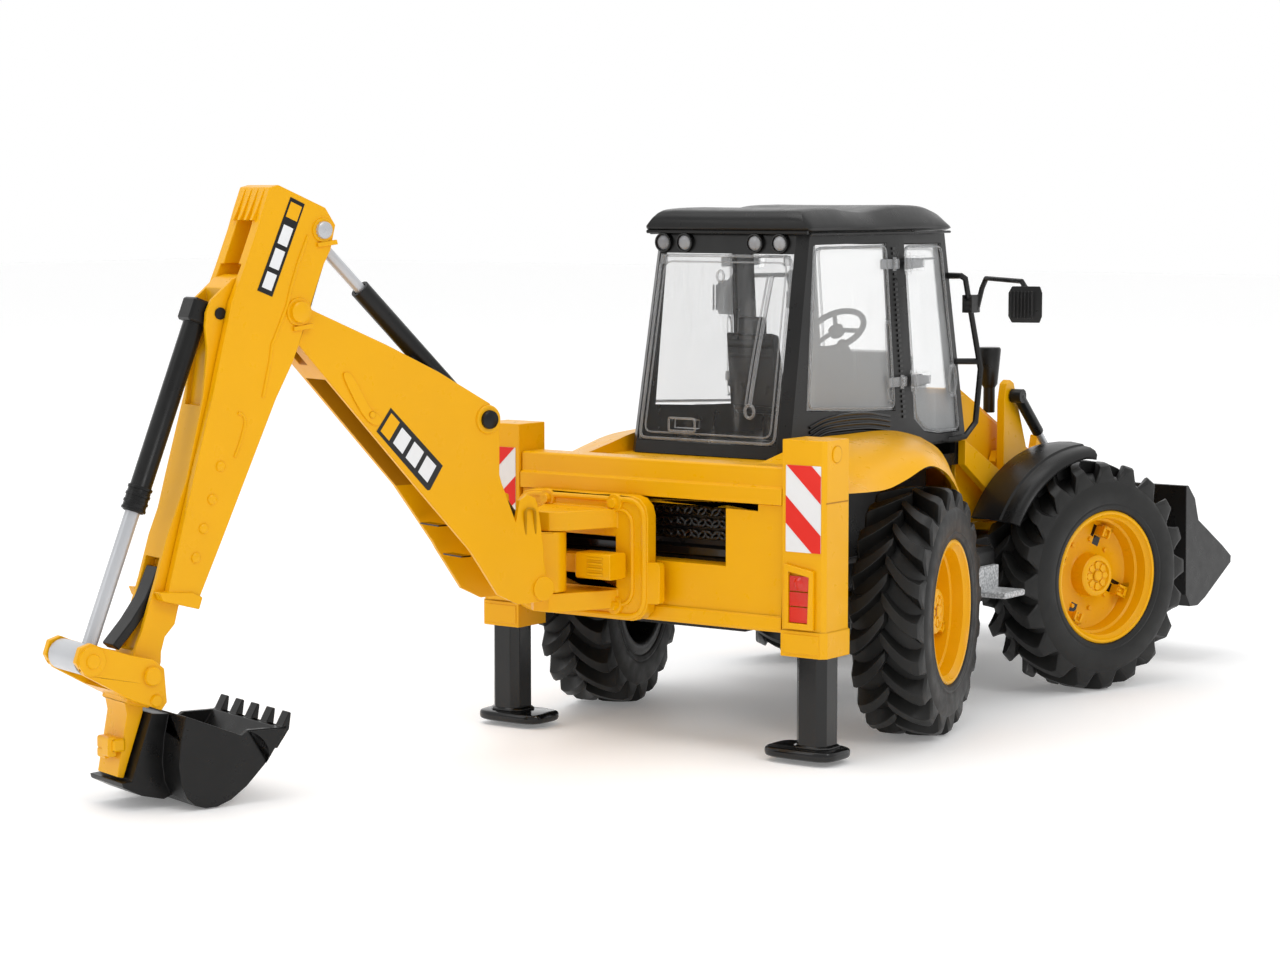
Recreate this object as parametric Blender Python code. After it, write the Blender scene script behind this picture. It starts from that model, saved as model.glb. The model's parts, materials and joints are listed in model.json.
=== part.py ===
"""Toy backhoe loader at 1:16, as separate moulded pieces on real joints.

Dimensions are written in millimetres and become metres when a mesh is made.
The machine drives towards -Y, its left side is +X and it stands on z = 0.
Every moving piece hangs from an empty that sits on its joint's axis.
"""
import math

import bmesh
import bpy
from mathutils import Matrix, Vector

MM = 0.001
GAP = 0.3

# Running gear
TYRE_RADIUS = 46.0
TYRE_WIDTH = 29.0
RIM_LIP_RADIUS = 26.5
RIM_TUBE_RADIUS = 24.2
WHEEL_BASE = 139.4
KINGPIN_X = 55.1
WHEEL_OFFSET = 13.0
STEER_FRONT = math.radians(-17.76)
STEER_REAR = math.radians(14.98)
AXLE_Z = TYRE_RADIUS
FENDER_RADIUS = 51.5

# Rear frame and stabilisers
FRAME_REAR_Y = 143.0
FRAME_DEPTH = 11.5
FRAME_HALF_WIDTH = 58.0
FRAME_BOTTOM_Z = 45.7
FRAME_TOP_Z = 104.0
POST_IN_X = 58.3
POST_OUT_X = 76.0
POST_FRONT_Y = 127.4
POST_BOTTOM_Z = 37.9
POST_TOP_Z = 114.0
LEG_X = (61.9, 74.4)
LEG_Y = (130.2, 141.2)
FOOT_Z = 1.7
FOOT_THICKNESS = 3.6

# Cab
CAB_BASE_Z = 102.6
CAB_TOP_Z = 184.4
CAB_FRONT_FOOT_Z = 92.0
CAB_WALL = 2.2
GLASS = 1.2
ROOF_Z = 184.7

# Loader
ARM_IN_X = 30.8
ARM_OUT_X = 34.2
TOWER_OUT_X = 38.0
LIFT_PIVOT = (-56.0, 90.0)
LIFT_RAM_TOP = (-57.5, 117.5)
LIFT_RAM_FOOT = (-84.0, 93.0)
BUCKET_PIVOT = (-134.0, 40.0)
BUCKET_HALF_WIDTH = 77.0

# Backhoe, in its own upright plane: x sideways, y outwards from the king post
SHIFT_X = 25.3
KINGPOST_Y = 168.0
SWING = math.radians(17.0)
BOOM_PIVOT = (11.5, 60.0)
DIPPER_PIVOT = (108.5, 160.0)
TILT_PIVOT = (166.0, 43.6)
BOOM_HALF_WIDTH = 8.1
BOOM_FOOT_HALF_WIDTH = 12.4
DIPPER_HALF_WIDTH = 10.0
INNER_HALF_WIDTH = 6.5
PLATE = 1.8
DIPPER_LEAN = math.radians(18.0)
BOOM_RAM = ((10.0, 76.5), (44.0, 118.0))
DIPPER_RAM = ((31.6, 120.6), (99.0, 187.0))
BUCKET_RAM = ((140.6, 161.3), (183.4, 50.4))
BUCKET_RAM_EYE = (187.3, 50.4)
RAM_RADIUS = 3.6
ROD_RADIUS = 2.5
BACKHOE_BUCKET_HALF = 23.0


# ---------------------------------------------------------------- materials
def material(name, colour, roughness, metallic=0.0, alpha=1.0):
    mat = bpy.data.materials.new(name)
    mat.use_nodes = True
    shader = mat.node_tree.nodes["Principled BSDF"]
    shader.inputs["Base Color"].default_value = (*colour, 1.0)
    shader.inputs["Roughness"].default_value = roughness
    shader.inputs["Metallic"].default_value = metallic
    shader.inputs["Alpha"].default_value = alpha
    return mat


def make_materials():
    return {
        "yellow": material("yellow_plastic", (0.93, 0.50, 0.0), 0.3),
        "black": material("black_plastic", (0.014, 0.014, 0.015), 0.4),
        "tyre": material("tyre_rubber", (0.012, 0.012, 0.012), 0.6),
        "clear": material("clear_plastic", (0.9, 0.92, 0.92), 0.05, alpha=0.25),
        "silver": material("silver_plastic", (0.55, 0.56, 0.58), 0.3, metallic=0.6),
        "red": material("red_lens", (0.75, 0.03, 0.02), 0.2),
    }


# ---------------------------------------------------------------- solids
def closed(bm):
    bmesh.ops.remove_doubles(bm, verts=bm.verts, dist=1e-5)
    bmesh.ops.recalc_face_normals(bm, faces=bm.faces)
    return bm


def loft(sections):
    """A closed solid through rings of points that all have the same length."""
    bm = bmesh.new()
    rings = [[bm.verts.new(point) for point in ring] for ring in sections]
    count = len(rings[0])
    for near, far in zip(rings, rings[1:]):
        for i in range(count):
            j = (i + 1) % count
            bm.faces.new((near[i], near[j], far[j], far[i]))
    bm.faces.new(rings[0])
    bm.faces.new(rings[-1])
    return closed(bm)


def prism(outline, axis, low, high):
    """Extrude an outline along an axis; its points hold the other two axes."""
    def place(point, level):
        values = list(point)
        values.insert("xyz".index(axis), level)
        return tuple(values)
    return loft([[place(p, level) for p in outline] for level in (low, high)])


def block(x_range, y_range, z_range, bevel=0.0):
    outline = [(x, y) for x, y in zip((0, 1, 1, 0), (0, 0, 1, 1))]
    outline = [(x_range[i], y_range[j]) for i, j in outline]
    bm = prism(outline, "z", *z_range)
    if bevel:
        bmesh.ops.bevel(bm, geom=bm.edges, offset=bevel, segments=1, affect="EDGES")
    return bm


def turned(profile, start, direction, sides=24):
    """Revolve (along, radius) points about an axis; both ends lie on it."""
    axis = Vector(direction).normalized()
    side = axis.orthogonal().normalized()
    other = axis.cross(side)
    bm = bmesh.new()
    rings = []
    for along, radius in profile:
        centre = Vector(start) + axis * along
        if radius == 0:
            rings.append([bm.verts.new(centre)])
            continue
        ring = []
        for i in range(sides):
            turn = 2 * math.pi * i / sides
            ring.append(bm.verts.new(centre + (side * math.cos(turn) + other * math.sin(turn)) * radius))
        rings.append(ring)
    for near, far in zip(rings, rings[1:]):
        for i in range(sides):
            j = (i + 1) % sides
            corners = [near[i % len(near)], near[j % len(near)], far[j % len(far)], far[i % len(far)]]
            bm.faces.new(list(dict.fromkeys(corners)))
    return closed(bm)


def rod(start, end, radius, sides=16):
    length = (Vector(end) - Vector(start)).length
    profile = [(0, 0), (0, radius), (length, radius), (length, 0)]
    return turned(profile, start, Vector(end) - Vector(start), sides)


def ring_solid(profile, start, direction, sides):
    """Revolve a closed (along, radius) outline that stays off the axis."""
    axis = Vector(direction).normalized()
    side = axis.orthogonal().normalized()
    other = axis.cross(side)
    bm = bmesh.new()
    rings = []
    for i in range(sides):
        turn = 2 * math.pi * i / sides
        out = side * math.cos(turn) + other * math.sin(turn)
        rings.append([bm.verts.new(Vector(start) + axis * a + out * r) for a, r in profile])
    count = len(profile)
    for i in range(sides):
        near, far = rings[i], rings[(i + 1) % sides]
        for k in range(count):
            m = (k + 1) % count
            bm.faces.new((near[k], near[m], far[m], far[k]))
    return closed(bm)


def sweep(path, radius, sides=8):
    """A round bar with mitred bends along a list of points."""
    points = [Vector(p) for p in path]
    sections = []
    normal = None
    for i, point in enumerate(points):
        before = points[i] - points[max(i - 1, 0)]
        after = points[min(i + 1, len(points) - 1)] - points[i]
        tangent = (before.normalized() + after.normalized()).normalized()
        if normal is None:
            normal = tangent.orthogonal().normalized()
        normal = (normal - tangent * normal.dot(tangent)).normalized()
        other = tangent.cross(normal)
        section = []
        for k in range(sides):
            turn = 2 * math.pi * k / sides
            section.append(point + (normal * math.cos(turn) + other * math.sin(turn)) * radius)
        sections.append(section)
    return loft(sections)


def temporary(bm):
    mesh = bpy.data.meshes.new("work")
    bm.to_mesh(mesh)
    bm.free()
    obj = bpy.data.objects.new("work", mesh)
    bpy.context.scene.collection.objects.link(obj)
    return obj


def boolean(base, others, operation):
    obj = temporary(base)
    helpers = [temporary(other) for other in others]
    for helper in helpers:
        modifier = obj.modifiers.new("cut", "BOOLEAN")
        modifier.operation = operation
        modifier.solver = "EXACT"
        modifier.object = helper
    graph = bpy.context.evaluated_depsgraph_get()
    result = bmesh.new()
    result.from_mesh(obj.evaluated_get(graph).to_mesh())
    for item in [obj] + helpers:
        mesh = item.data
        bpy.data.objects.remove(item)
        bpy.data.meshes.remove(mesh)
    bmesh.ops.remove_doubles(result, verts=result.verts, dist=1e-4)
    bmesh.ops.dissolve_limit(result, angle_limit=0.001, verts=result.verts, edges=result.edges)
    return result


def join(base, *others):
    return boolean(base, others, "UNION")


def cut(base, *others):
    return boolean(base, others, "DIFFERENCE")


def overlap(base, *others):
    return boolean(base, others, "INTERSECT")


def mirrored(bm):
    bmesh.ops.scale(bm, vec=(-1, 1, 1), verts=bm.verts)
    return closed(bm)


def sided(bm, side):
    """Shapes are drawn on the left (+X) side and mirrored for the right."""
    return bm if side > 0 else mirrored(bm)


# ---------------------------------------------------------------- placing
def pivot(name, location, parent=None, turn=0.0):
    empty = bpy.data.objects.new(name, None)
    empty.empty_display_size = 0.01
    empty.location = Vector(location) * MM
    empty.rotation_euler = (0, 0, turn)
    empty.parent = parent
    bpy.context.scene.collection.objects.link(empty)
    return empty


def add(name, bm, mat, parent, smooth=False):
    """Finish a piece drawn in its parent frame's own axes."""
    anchor = Vector(parent.get("anchor", (0, 0, 0)))
    bmesh.ops.translate(bm, vec=-anchor, verts=bm.verts)
    bmesh.ops.scale(bm, vec=(MM, MM, MM), verts=bm.verts)
    bmesh.ops.triangulate(bm, faces=bm.faces)
    mesh = bpy.data.meshes.new(name)
    bm.to_mesh(mesh)
    bm.free()
    if smooth:
        mesh.shade_smooth()
        mesh.set_sharp_from_angle(angle=math.radians(35))
    obj = bpy.data.objects.new(name, mesh)
    obj.data.materials.append(mat)
    obj.parent = parent
    bpy.context.scene.collection.objects.link(obj)
    return obj


def joint_empty(name, location, parent, turn=0.0):
    """An empty on a joint's axis; pieces are still drawn in the parent's axes."""
    empty = pivot(name, location, parent, turn)
    empty["anchor"] = tuple(location)
    return empty


# ---------------------------------------------------------------- wheels
def wheel_pieces(mats, root, end, side):
    """One steered wheel: knuckle, rim and tyre, drawn in the knuckle's axes."""
    label = ("front" if end < 0 else "rear") + ("_left" if side > 0 else "_right")
    turn = STEER_FRONT if end < 0 else STEER_REAR
    steer = pivot("steer_" + label, (side * KINGPIN_X, end * WHEEL_BASE / 2, AXLE_Z), root, turn)
    spin = joint_empty("spin_" + label, (side * WHEEL_OFFSET, 0, 0), steer)
    middle = (side * WHEEL_OFFSET, 0, 0)
    out = (side, 0, 0)
    lip = TYRE_WIDTH / 2 - 0.9
    rim = turned([
        (7.6, 0), (7.6, 7.6), (1.0, 9.5), (0.0, 22.0), (lip, 22.8), (lip, RIM_LIP_RADIUS),
        (lip - 1.2, RIM_LIP_RADIUS), (lip - 1.2, RIM_TUBE_RADIUS), (1.2 - lip, RIM_TUBE_RADIUS),
        (1.2 - lip, RIM_LIP_RADIUS), (-lip, RIM_LIP_RADIUS), (-lip, 22.6), (-2.6, 22.0),
        (-2.6, 6.0), (-5.5, 5.0), (-5.5, 2.2), (3.0, 2.2), (3.0, 0)], middle, out, 24)
    add("rim_" + label, rim, mats["yellow"], spin, True)
    bead = lip - 1.2 - GAP
    half = TYRE_WIDTH / 2
    tyre = ring_solid([
        (-bead, RIM_TUBE_RADIUS + GAP), (bead, RIM_TUBE_RADIUS + GAP), (bead, RIM_LIP_RADIUS + 0.4),
        (half - 0.4, RIM_LIP_RADIUS + 0.8), (half, 38.0), (half - 1.2, 43.6), (half - 4.0, TYRE_RADIUS),
        (4.0 - half, TYRE_RADIUS), (1.2 - half, 43.6), (-half, 38.0),
        (0.4 - half, RIM_LIP_RADIUS + 0.8), (-bead, RIM_LIP_RADIUS + 0.4)], middle, out, 30)
    add("tyre_" + label, tyre, mats["tyre"], spin, True)
    add("knuckle_" + label, knuckle(side, end < 0), mats["black"], steer)


def knuckle(side, with_fender):
    """Hub carrier with its stub axle; a front one also carries the fender."""
    body = block((-3.6, 6.6), (-5, 5), (-9, 9))
    stub = rod((5, 0, 0), (15.4, 0, 0), 1.95, 12)
    shape = join(body, stub)
    if with_fender:
        stalk = block((-6.2, -3.0), (2, 9.5), (-4, FENDER_RADIUS - 0.4))
        shape = join(shape, stalk, front_fender())
    return sided(shape, side)


def front_fender():
    """A crowned strip over the rear half of the wheel."""
    sections = []
    steps = 9
    for i in range(steps + 1):
        t = i / steps
        angle = math.radians(1 + 61 * t)
        near = -6.4 + 2.2 * t
        ring = []
        for x, lift in ((near, 0.6), (2.0, 1.6), (13.0, 1.4), (18.5, -0.4), (20.8, -2.4), (20.2, -3.4),
                        (18.0, -2.0), (12.5, -0.4), (2.0, -0.2), (near, -1.2)):
            radius = FENDER_RADIUS + lift
            ring.append((x, math.sin(angle) * radius, math.cos(angle) * radius))
        sections.append(ring)
    return loft(sections)


# ---------------------------------------------------------------- chassis
def chassis_shape():
    spine = block((-26, 26), (-118, 117), (40, 60), 1.5)
    nose = block((-29, 29), (-124, -96), (42, 65.5), 1.5)
    tanks = block((-57, 57), (-13, 13), (46, 62), 2.0)
    riser = block((-24, 24), (-14, 100), (59, 91.5))
    grille = block((-36, 54), (117, 131), (60, 90))
    axle = block((-46, 46), (64, 75.4), (40, 52), 1.5)
    grille_link = block((-20, 20), (100, 118), (45, 88))
    return join(spine, nose, tanks, riser, grille, axle, grille_link)


def front_axle_parts():
    """A beam under the spine with an upright at each kingpin."""
    beam = block((-46, 46), (-75, -64.4), (31, 42), 1.5)
    ends = [block(sorted((s * 38, s * 46)), (-75, -64.4), (33, 52)) for s in (-1, 1)]
    return [beam] + ends


def step_shape(side):
    plate = block((57.4, 71), (-11, 5), (43.5, 46), 0.6)
    hanger = block((57.4, 60), (-9, 9), (44, 55))
    return sided(join(plate, hanger), side)


# ---------------------------------------------------------------- body
# Stations along the body: y, then (x, z) of the inner, middle and outer line
# of the fender's top surface.
FENDER_STATIONS = (
    (127.0, (38.3, 103.4), (57.0, 100.2), (69.5, 97.2), (75.5, 94.6)),
    (112.0, (38.3, 106.2), (57.5, 100.9), (70.0, 97.0), (75.5, 94.0)),
    (100.0, (38.3, 108.6), (57.5, 103.4), (70.0, 98.9), (75.5, 94.2)),
    (87.0, (38.3, 110.0), (58.0, 105.6), (70.5, 101.6), (75.5, 96.6)),
    (72.0, (38.3, 110.0), (58.5, 107.4), (70.8, 104.4), (75.5, 100.2)),
    (60.0, (38.3, 110.0), (58.5, 107.4), (70.0, 103.6), (75.0, 97.6)),
    (50.0, (38.3, 110.0), (57.5, 106.8), (68.0, 101.4), (73.4, 92.4)),
    (41.0, (38.3, 109.6), (56.0, 105.2), (66.0, 97.0), (71.0, 86.4)),
    (33.0, (38.3, 108.9), (54.0, 103.0), (63.6, 92.0), (68.5, 81.8)),
    (24.0, (38.3, 107.4), (50.0, 102.0), (57.0, 94.0), (60.0, 86.0)),
    (15.0, (38.3, 105.4), (46.0, 101.5), (50.5, 96.0), (52.5, 91.0)),
)
SHELL = 2.0


def body_section(y, inner, middle, shoulder, outer):
    """A deck between two fenders, as one ring of points."""
    deck_z = CAB_BASE_Z - GAP
    deck_x = inner[0] - 0.1
    top = [(deck_x, deck_z), inner, middle, shoulder, outer]
    under = [
        (outer[0] - SHELL, outer[1]), (shoulder[0] - SHELL, shoulder[1] - SHELL),
        (middle[0], middle[1] - SHELL), (inner[0], min(inner[1], deck_z) - SHELL - 0.6)]
    right = [(-x, z) for x, z in reversed(top)]
    left_under = under
    right_under = [(-x, z) for x, z in reversed(under)]
    ring = right + top + left_under + right_under
    return [(x, y, z) for x, z in ring]


def body_shell_shape():
    return loft([body_section(*station) for station in FENDER_STATIONS])


def bonnet_shape():
    profile = [(-26.5, 66.5), (-26.5, 121.5), (-34, 121.2), (-52, 112.5), (-85, 96), (-108, 87),
               (-120, 79), (-124, 66.5)]
    inner = [(-24, 60), (-24, 119), (-34, 118.8), (-52, 110.2), (-85, 93.8), (-107, 84.8),
             (-117.5, 78), (-121.5, 60)]
    shape = prism(profile, "x", -30, 30)
    lines = [e for e in shape.edges if abs(e.verts[0].co.x - e.verts[1].co.x) < 1
             and min(v.co.z for v in e.verts) > 70]
    bmesh.ops.bevel(shape, geom=lines, offset=2.5, segments=2, affect="EDGES")
    return cut(shape, prism(inner, "x", -28, 28))


# ---------------------------------------------------------------- cab
def cab_ring(z, inset=0.0):
    """The cab's outline at a height: rear corners, waist and front corners."""
    t = (z - CAB_BASE_Z) / (CAB_TOP_Z - CAB_BASE_Z)
    rear_y = 106.5 - 15.5 * t - inset
    front_y = -24.5 + 13.0 * t + inset
    rear_x = 35.2 - 1.6 * t - inset
    waist_x = 37.4 - 1.6 * t - inset
    front_x = 35.6 - 3.0 * t - inset
    right = [(-front_x, front_y, z), (-waist_x, 26, z), (-rear_x, rear_y - 3.5, z),
             (-rear_x + 3.5, rear_y, z)]
    left = [(-x, y, z) for x, y, z in reversed(right)]
    return right + left


def cab_solid(low, high, inset=0.0):
    return loft([cab_ring(low, inset), cab_ring(high, inset)])


SIDE_WINDOW = [(91.5, 119.5), (85.5, 180.3), (36.5, 180.6), (31.5, 116.5), (60, 117.5)]
DOOR_OPENING = [(24.5, 180.2), (17.5, 112.5), (9, 107), (-3, 105.4), (-19.4, 105.4),
                (-18.6, 112), (-17.4, 126), (-7.8, 180)]
SILL_OPENING = [(4, 101.2), (-3, 96.6), (-19, 96.6), (-19.4, 101.2)]
REAR_WINDOW = [(-31, 107.2), (31, 107.2), (30, 177), (-30, 177)]
WINDSCREEN = [(-30, 112), (30, 112), (28, 179), (-28, 179)]


def shrink(outline, amount):
    """Move every side of a convex outline inwards by the same amount."""
    count = len(outline)
    area = sum(outline[i][0] * outline[(i + 1) % count][1] - outline[(i + 1) % count][0] * outline[i][1]
               for i in range(count))
    sign = 1 if area > 0 else -1
    lines = []
    for i in range(count):
        p, q = Vector(outline[i]), Vector(outline[(i + 1) % count])
        along = (q - p).normalized()
        normal = Vector((-along.y, along.x)) * sign
        lines.append((p + normal * amount, along))
    result = []
    for i in range(count):
        (p, d), (q, e) = lines[i - 1], lines[i]
        cross = d.x * e.y - d.y * e.x
        t = ((q.x - p.x) * e.y - (q.y - p.y) * e.x) / cross
        result.append(tuple(p + d * t))
    return result


def cab_frame_shape():
    foot = block((-34, 34), (-24.2, 10), (CAB_FRONT_FOOT_Z, CAB_BASE_Z + 1))
    outer = join(cab_solid(CAB_BASE_Z, CAB_TOP_Z), foot)
    foot_inner = block((-31.8, 31.8), (-22.0, 7.8), (CAB_FRONT_FOOT_Z + 2, CAB_BASE_Z + 6))
    inner = cab_solid(CAB_BASE_Z + 2.4, CAB_TOP_Z + 6, CAB_WALL)
    return cut(
        outer, inner, foot_inner,
        *[prism(outline, "x", *sorted((side * 20, side * 50)))
          for side in (-1, 1) for outline in (SIDE_WINDOW, DOOR_OPENING, SILL_OPENING)],
        prism(REAR_WINDOW, "y", 70, 130), prism(WINDSCREEN, "y", -40, 6))


def pane(outline, axis, low, high):
    """A pane of the cab's skin that fills an opening with a small gap round it."""
    skin = cut(cab_solid(96.0, CAB_TOP_Z - 0.2), cab_solid(90.0, CAB_TOP_Z + 5, GLASS))
    return overlap(skin, prism(shrink(outline, GAP), axis, low, high))


DOOR_HINGES = ((38.5, 20.4, 127.5), (37.9, 25.0, 172.5))


def door_pane(side):
    """The door's pane with two hinge straps that reach past its rear edge."""
    shape = pane(DOOR_OPENING, "x", *sorted((side * 20, side * 50)))
    low, high = [Vector(point) for point in DOOR_HINGES]
    along = (high - low).normalized()
    for x, y, z in DOOR_HINGES:
        strap = block((x - 1.3, x + 0.4), (y - 12, y + 0.4), (z - 3, z + 3))
        pad = block((x - 4.2, x - 0.6), (y - 11, y - 2.4), (z - 2.6, z + 2.6))
        centre = Vector((x, y, z))
        pin = rod(centre - along * 4.2, centre + along * 4.2, 1.3, 10)
        shape = join(shape, sided(join(strap, pad, pin), side))
    return shape


def rear_pane():
    shape = pane(REAR_WINDOW, "y", 70, 130)
    handle = block((5, 16), (101.6, 104.6), (112, 115.5), 0.4)
    return join(shape, handle)


def roof_shape():
    """A lofted cap whose sides lean in, with a dip behind its middle."""
    stations = ((93.5, 186.2, 189.4, 36.4, 33.0), (88.0, 184.7, 193.0, 37.0, 30.5),
                (70.0, 184.7, 194.0, 37.6, 30.5), (48.0, 184.7, 192.6, 38.0, 31.5),
                (28.0, 184.7, 194.6, 38.0, 32.0), (6.0, 184.7, 194.4, 37.4, 31.0),
                (-8.0, 184.7, 191.6, 36.4, 30.0), (-13.0, 185.4, 187.6, 35.4, 31.0))
    sections = []
    for y, low, high, wide, narrow in stations:
        waist = low + (high - low) * 0.3
        right = [(-wide + 1.5, low), (-wide, waist), (-narrow, high)]
        ring = right + [(-x, z) for x, z in reversed(right)]
        sections.append([(x, y, z) for x, z in ring])
    return loft(sections)


def dashboard_shape():
    base = block((-25, 25), (-14, 4), (105.4, 128), 2.0)
    top = block((-20, 20), (-12, 6), (127, 137), 2.5)
    column = rod((-2, 4, 130), (-2, 15.2, 141.0), 2.0, 10)
    console = block((-30, -17), (14, 50), (105.4, 118), 2.0)
    link = block((-26, -18), (0, 16), (105.4, 112))
    return join(base, top, column, link, console)


def steering_wheel_shape():
    axis = Vector((0, 0.62, 0.78)).normalized()
    centre = Vector((-2, 19.0, 146.0))
    wheel = ring_solid([(-1.2, 10.2), (1.2, 10.2), (1.2, 12.6), (-1.2, 12.6)], centre, axis, 24)
    hub = rod(centre - axis * 2.2, centre + axis * 0.8, 3.0, 12)
    side = Vector((1, 0, 0))
    up = axis.cross(side)
    spokes = [rod(centre, centre + d * 11.2, 1.0, 6) for d in (side, -side, up)]
    return join(wheel, hub, *spokes)


def seat_shape():
    cushion = block((-12, 12), (48, 71), (116, 123), 1.5)
    back = loft([[(-10.5, 67, 120), (10.5, 67, 120), (10.5, 74, 119), (-10.5, 74, 119)],
                 [(-10.5, 72.5, 146), (10.5, 72.5, 146), (10.5, 77, 147), (-10.5, 77, 147)]])
    head = block((-6, 6), (73, 77), (145, 153), 1.0)
    stem = rod((0, 58, CAB_BASE_Z + 2.8), (0, 58, 118), 5.5, 12)
    arms = [block(x, (56, 72), (126, 129), 0.6) for x in ((-13.5, -10), (10, 13.5))]
    return join(cushion, back, head, stem, *arms)


RAIL_TOP = (41.2, -13.4, 166.0)
RAIL_KNEE = (41.2, -26.2, 130.0)


def mirror_bar(side):
    """The tube bent round the front corner of the cab, clear of the door."""
    path = [(31.5, -12.9, 167), (36, -13.4, 167), (39.8, -12.6, 167), RAIL_TOP, RAIL_KNEE,
            (41.2, -22.6, 109), (39.4, -17.6, 103.6), (36.6, -12.6, 102.6), (33.6, -9.6, 102.6)]
    branch = [(32.8, -18.6, 133), (41.2, -25.0, 133)]
    return [sided(sweep(points, 1.25, 8), side) for points in (path, branch)]


def mirror_shape(side):
    """Clip, arm and mirror head, drawn clear of the tube they turn on."""
    clip = cut(block((39.0, 43.4), (-21.6, -14.8), (152.5, 159.5)), sweep([RAIL_TOP, RAIL_KNEE], 1.6, 8))
    arm = sweep([(42.6, -21, 155), (43.6, -22.5, 162), (46.0, -21.5, 166), (67, -12, 165.4),
                 (70, -11, 162), (70, -11, 155)], 1.1, 8)
    head = loft([
        [(65, -8, 149.5), (75, -12, 149.5), (74, -14, 149.5), (64, -10, 149.5)],
        [(64, -7, 152), (76, -12, 152), (75, -14, 152), (63, -9.2, 152)],
        [(64, -7, 161), (76, -12, 161), (75, -14, 161), (63, -9.2, 161)],
        [(65, -8, 163.5), (75, -12, 163.5), (74, -14, 163.5), (64, -10, 163.5)]])
    return sided(join(clip, arm, head), side)


def stack_shape():
    neck = 10.2
    profile = [(0, 0), (0, 2.4), (neck, 2.4), (neck + 1.5, 3.4), (neck + 15.5, 4.7), (neck + 16.5, 4.3),
               (neck + 16.5, 0)]
    return turned(profile, (-26, -60.5, 110.0), (0, 0, 1), 16)


# ---------------------------------------------------------------- loader
def loader_frame_shape():
    tower = [(-51.5, 62.8), (-66, 62.8), (-74, 88), (-70.5, 96), (-59.5, 122.6), (-56.5, 124),
             (-53.5, 122.6), (-51.8, 116)]
    brace = [(-20.5, 92), (-52, 72), (-55, 84), (-48, 88.2), (-20.5, 101.8)]
    parts = []
    for side in (-1, 1):
        low, high = sorted((side * (ARM_OUT_X + 0.4), side * TOWER_OUT_X))
        parts.append(prism(tower, "x", low, high))
        parts.append(prism(brace, "x", low, high))
        parts.append(rod((side * 30.6, *LIFT_PIVOT), (side * 36, *LIFT_PIVOT), 2.2, 12))
        parts.append(rod((side * 36, *LIFT_RAM_TOP), (side * 38.2, *LIFT_RAM_TOP), 2.2, 12))
    cross = block((-TOWER_OUT_X, TOWER_OUT_X), (-64, -53), (62.4, 65.8))
    return join(cross, *parts)


def loader_arms_shape():
    plate = [(-51.5, 91), (-55, 85.6), (-60, 84.6), (-100, 70), (-130, 35.5), (-134, 34.6),
             (-138, 36.5), (-139, 41), (-127, 66), (-104, 86), (-93, 94), (-93, 99), (-87, 99.5),
             (-83.4, 88), (-60, 95.2), (-54, 95)]
    parts = []
    for side in (-1, 1):
        low, high = sorted((side * ARM_IN_X, side * ARM_OUT_X))
        arm = prism(plate, "x", low, high)
        hole = rod((side * 28, *LIFT_PIVOT), (side * 37, *LIFT_PIVOT), 2.5, 16)
        lug_pin = rod((side * 33, *LIFT_RAM_FOOT), (side * 38.3, *LIFT_RAM_FOOT), 2.0, 12)
        parts.append(join(cut(arm, hole), lug_pin))
    tube = rod((-32, -130, 57), (32, -130, 57), 3.6, 14)
    return join(tube, *parts)


def loader_bucket_shape():
    outer = [(-141.7, 76.5), (-148.3, 70.5), (-152, 61), (-176, 48), (-185, 42.5), (-184.5, 39.5),
             (-160, 27), (-152.5, 24.2), (-145, 24.6), (-140.5, 30), (-139.4, 71), (-139.4, 76.5)]
    inner = [(-142, 90), (-160, 80), (-190, 44.6), (-176, 38), (-159, 30), (-152, 26.6),
             (-146, 27.4), (-143, 32), (-142, 71)]
    half = BUCKET_HALF_WIDTH
    shell = cut(prism(outer, "x", -half, half), prism(inner, "x", 2 - half, half - 2))
    ears = []
    for side in (-1, 1):
        low, high = sorted((side * 27.0, side * 30.4))
        ears.append(prism([(-141, 70), (-134, 45), (-130, 40), (-134, 35), (-142, 33)], "x", low, high))
    pins = [rod((side * 29, -134, 40), (side * 30.6, -134, 40), 2, 10) for side in (-1, 1)]
    return join(shell, *ears, *pins)


def plane_point(point, x=0.0):
    return Vector((x, point[0], point[1]))


def ram(top, foot, x, barrel_length, rod_foot_gap, radius=RAM_RADIUS, rod_radius=ROD_RADIUS,
        bore_depth=2.0):
    """Barrel and rod of a ram between two points of an upright plane."""
    start, end = plane_point(top, x), plane_point(foot, x)
    along = (end - start).normalized()
    bore = rod_radius + 0.35
    barrel = turned([(0, 0), (0, radius), (barrel_length, radius), (barrel_length, bore),
                     (bore_depth, bore), (bore_depth, 0)], start, along, 16)
    inside = start + along * rod_foot_gap
    return barrel, rod(inside, end, rod_radius, 16)


def lift_rams():
    """Both barrels share a cross shaft; so do both rods."""
    barrels, rods = [], []
    for side in (-1, 1):
        barrel, bar = ram(LIFT_RAM_TOP, LIFT_RAM_FOOT, side * 41.2, 23.0, 15.0, 2.4, 1.5)
        head = rod((side * 38.4, *LIFT_RAM_TOP), (side * 43.4, *LIFT_RAM_TOP), 2.9, 12)
        eye = rod((side * 38.6, *LIFT_RAM_FOOT), (side * 42.8, *LIFT_RAM_FOOT), 2.2, 12)
        barrels.append(join(barrel, head))
        rods.append(join(bar, eye))
    return barrels, rods


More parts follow.
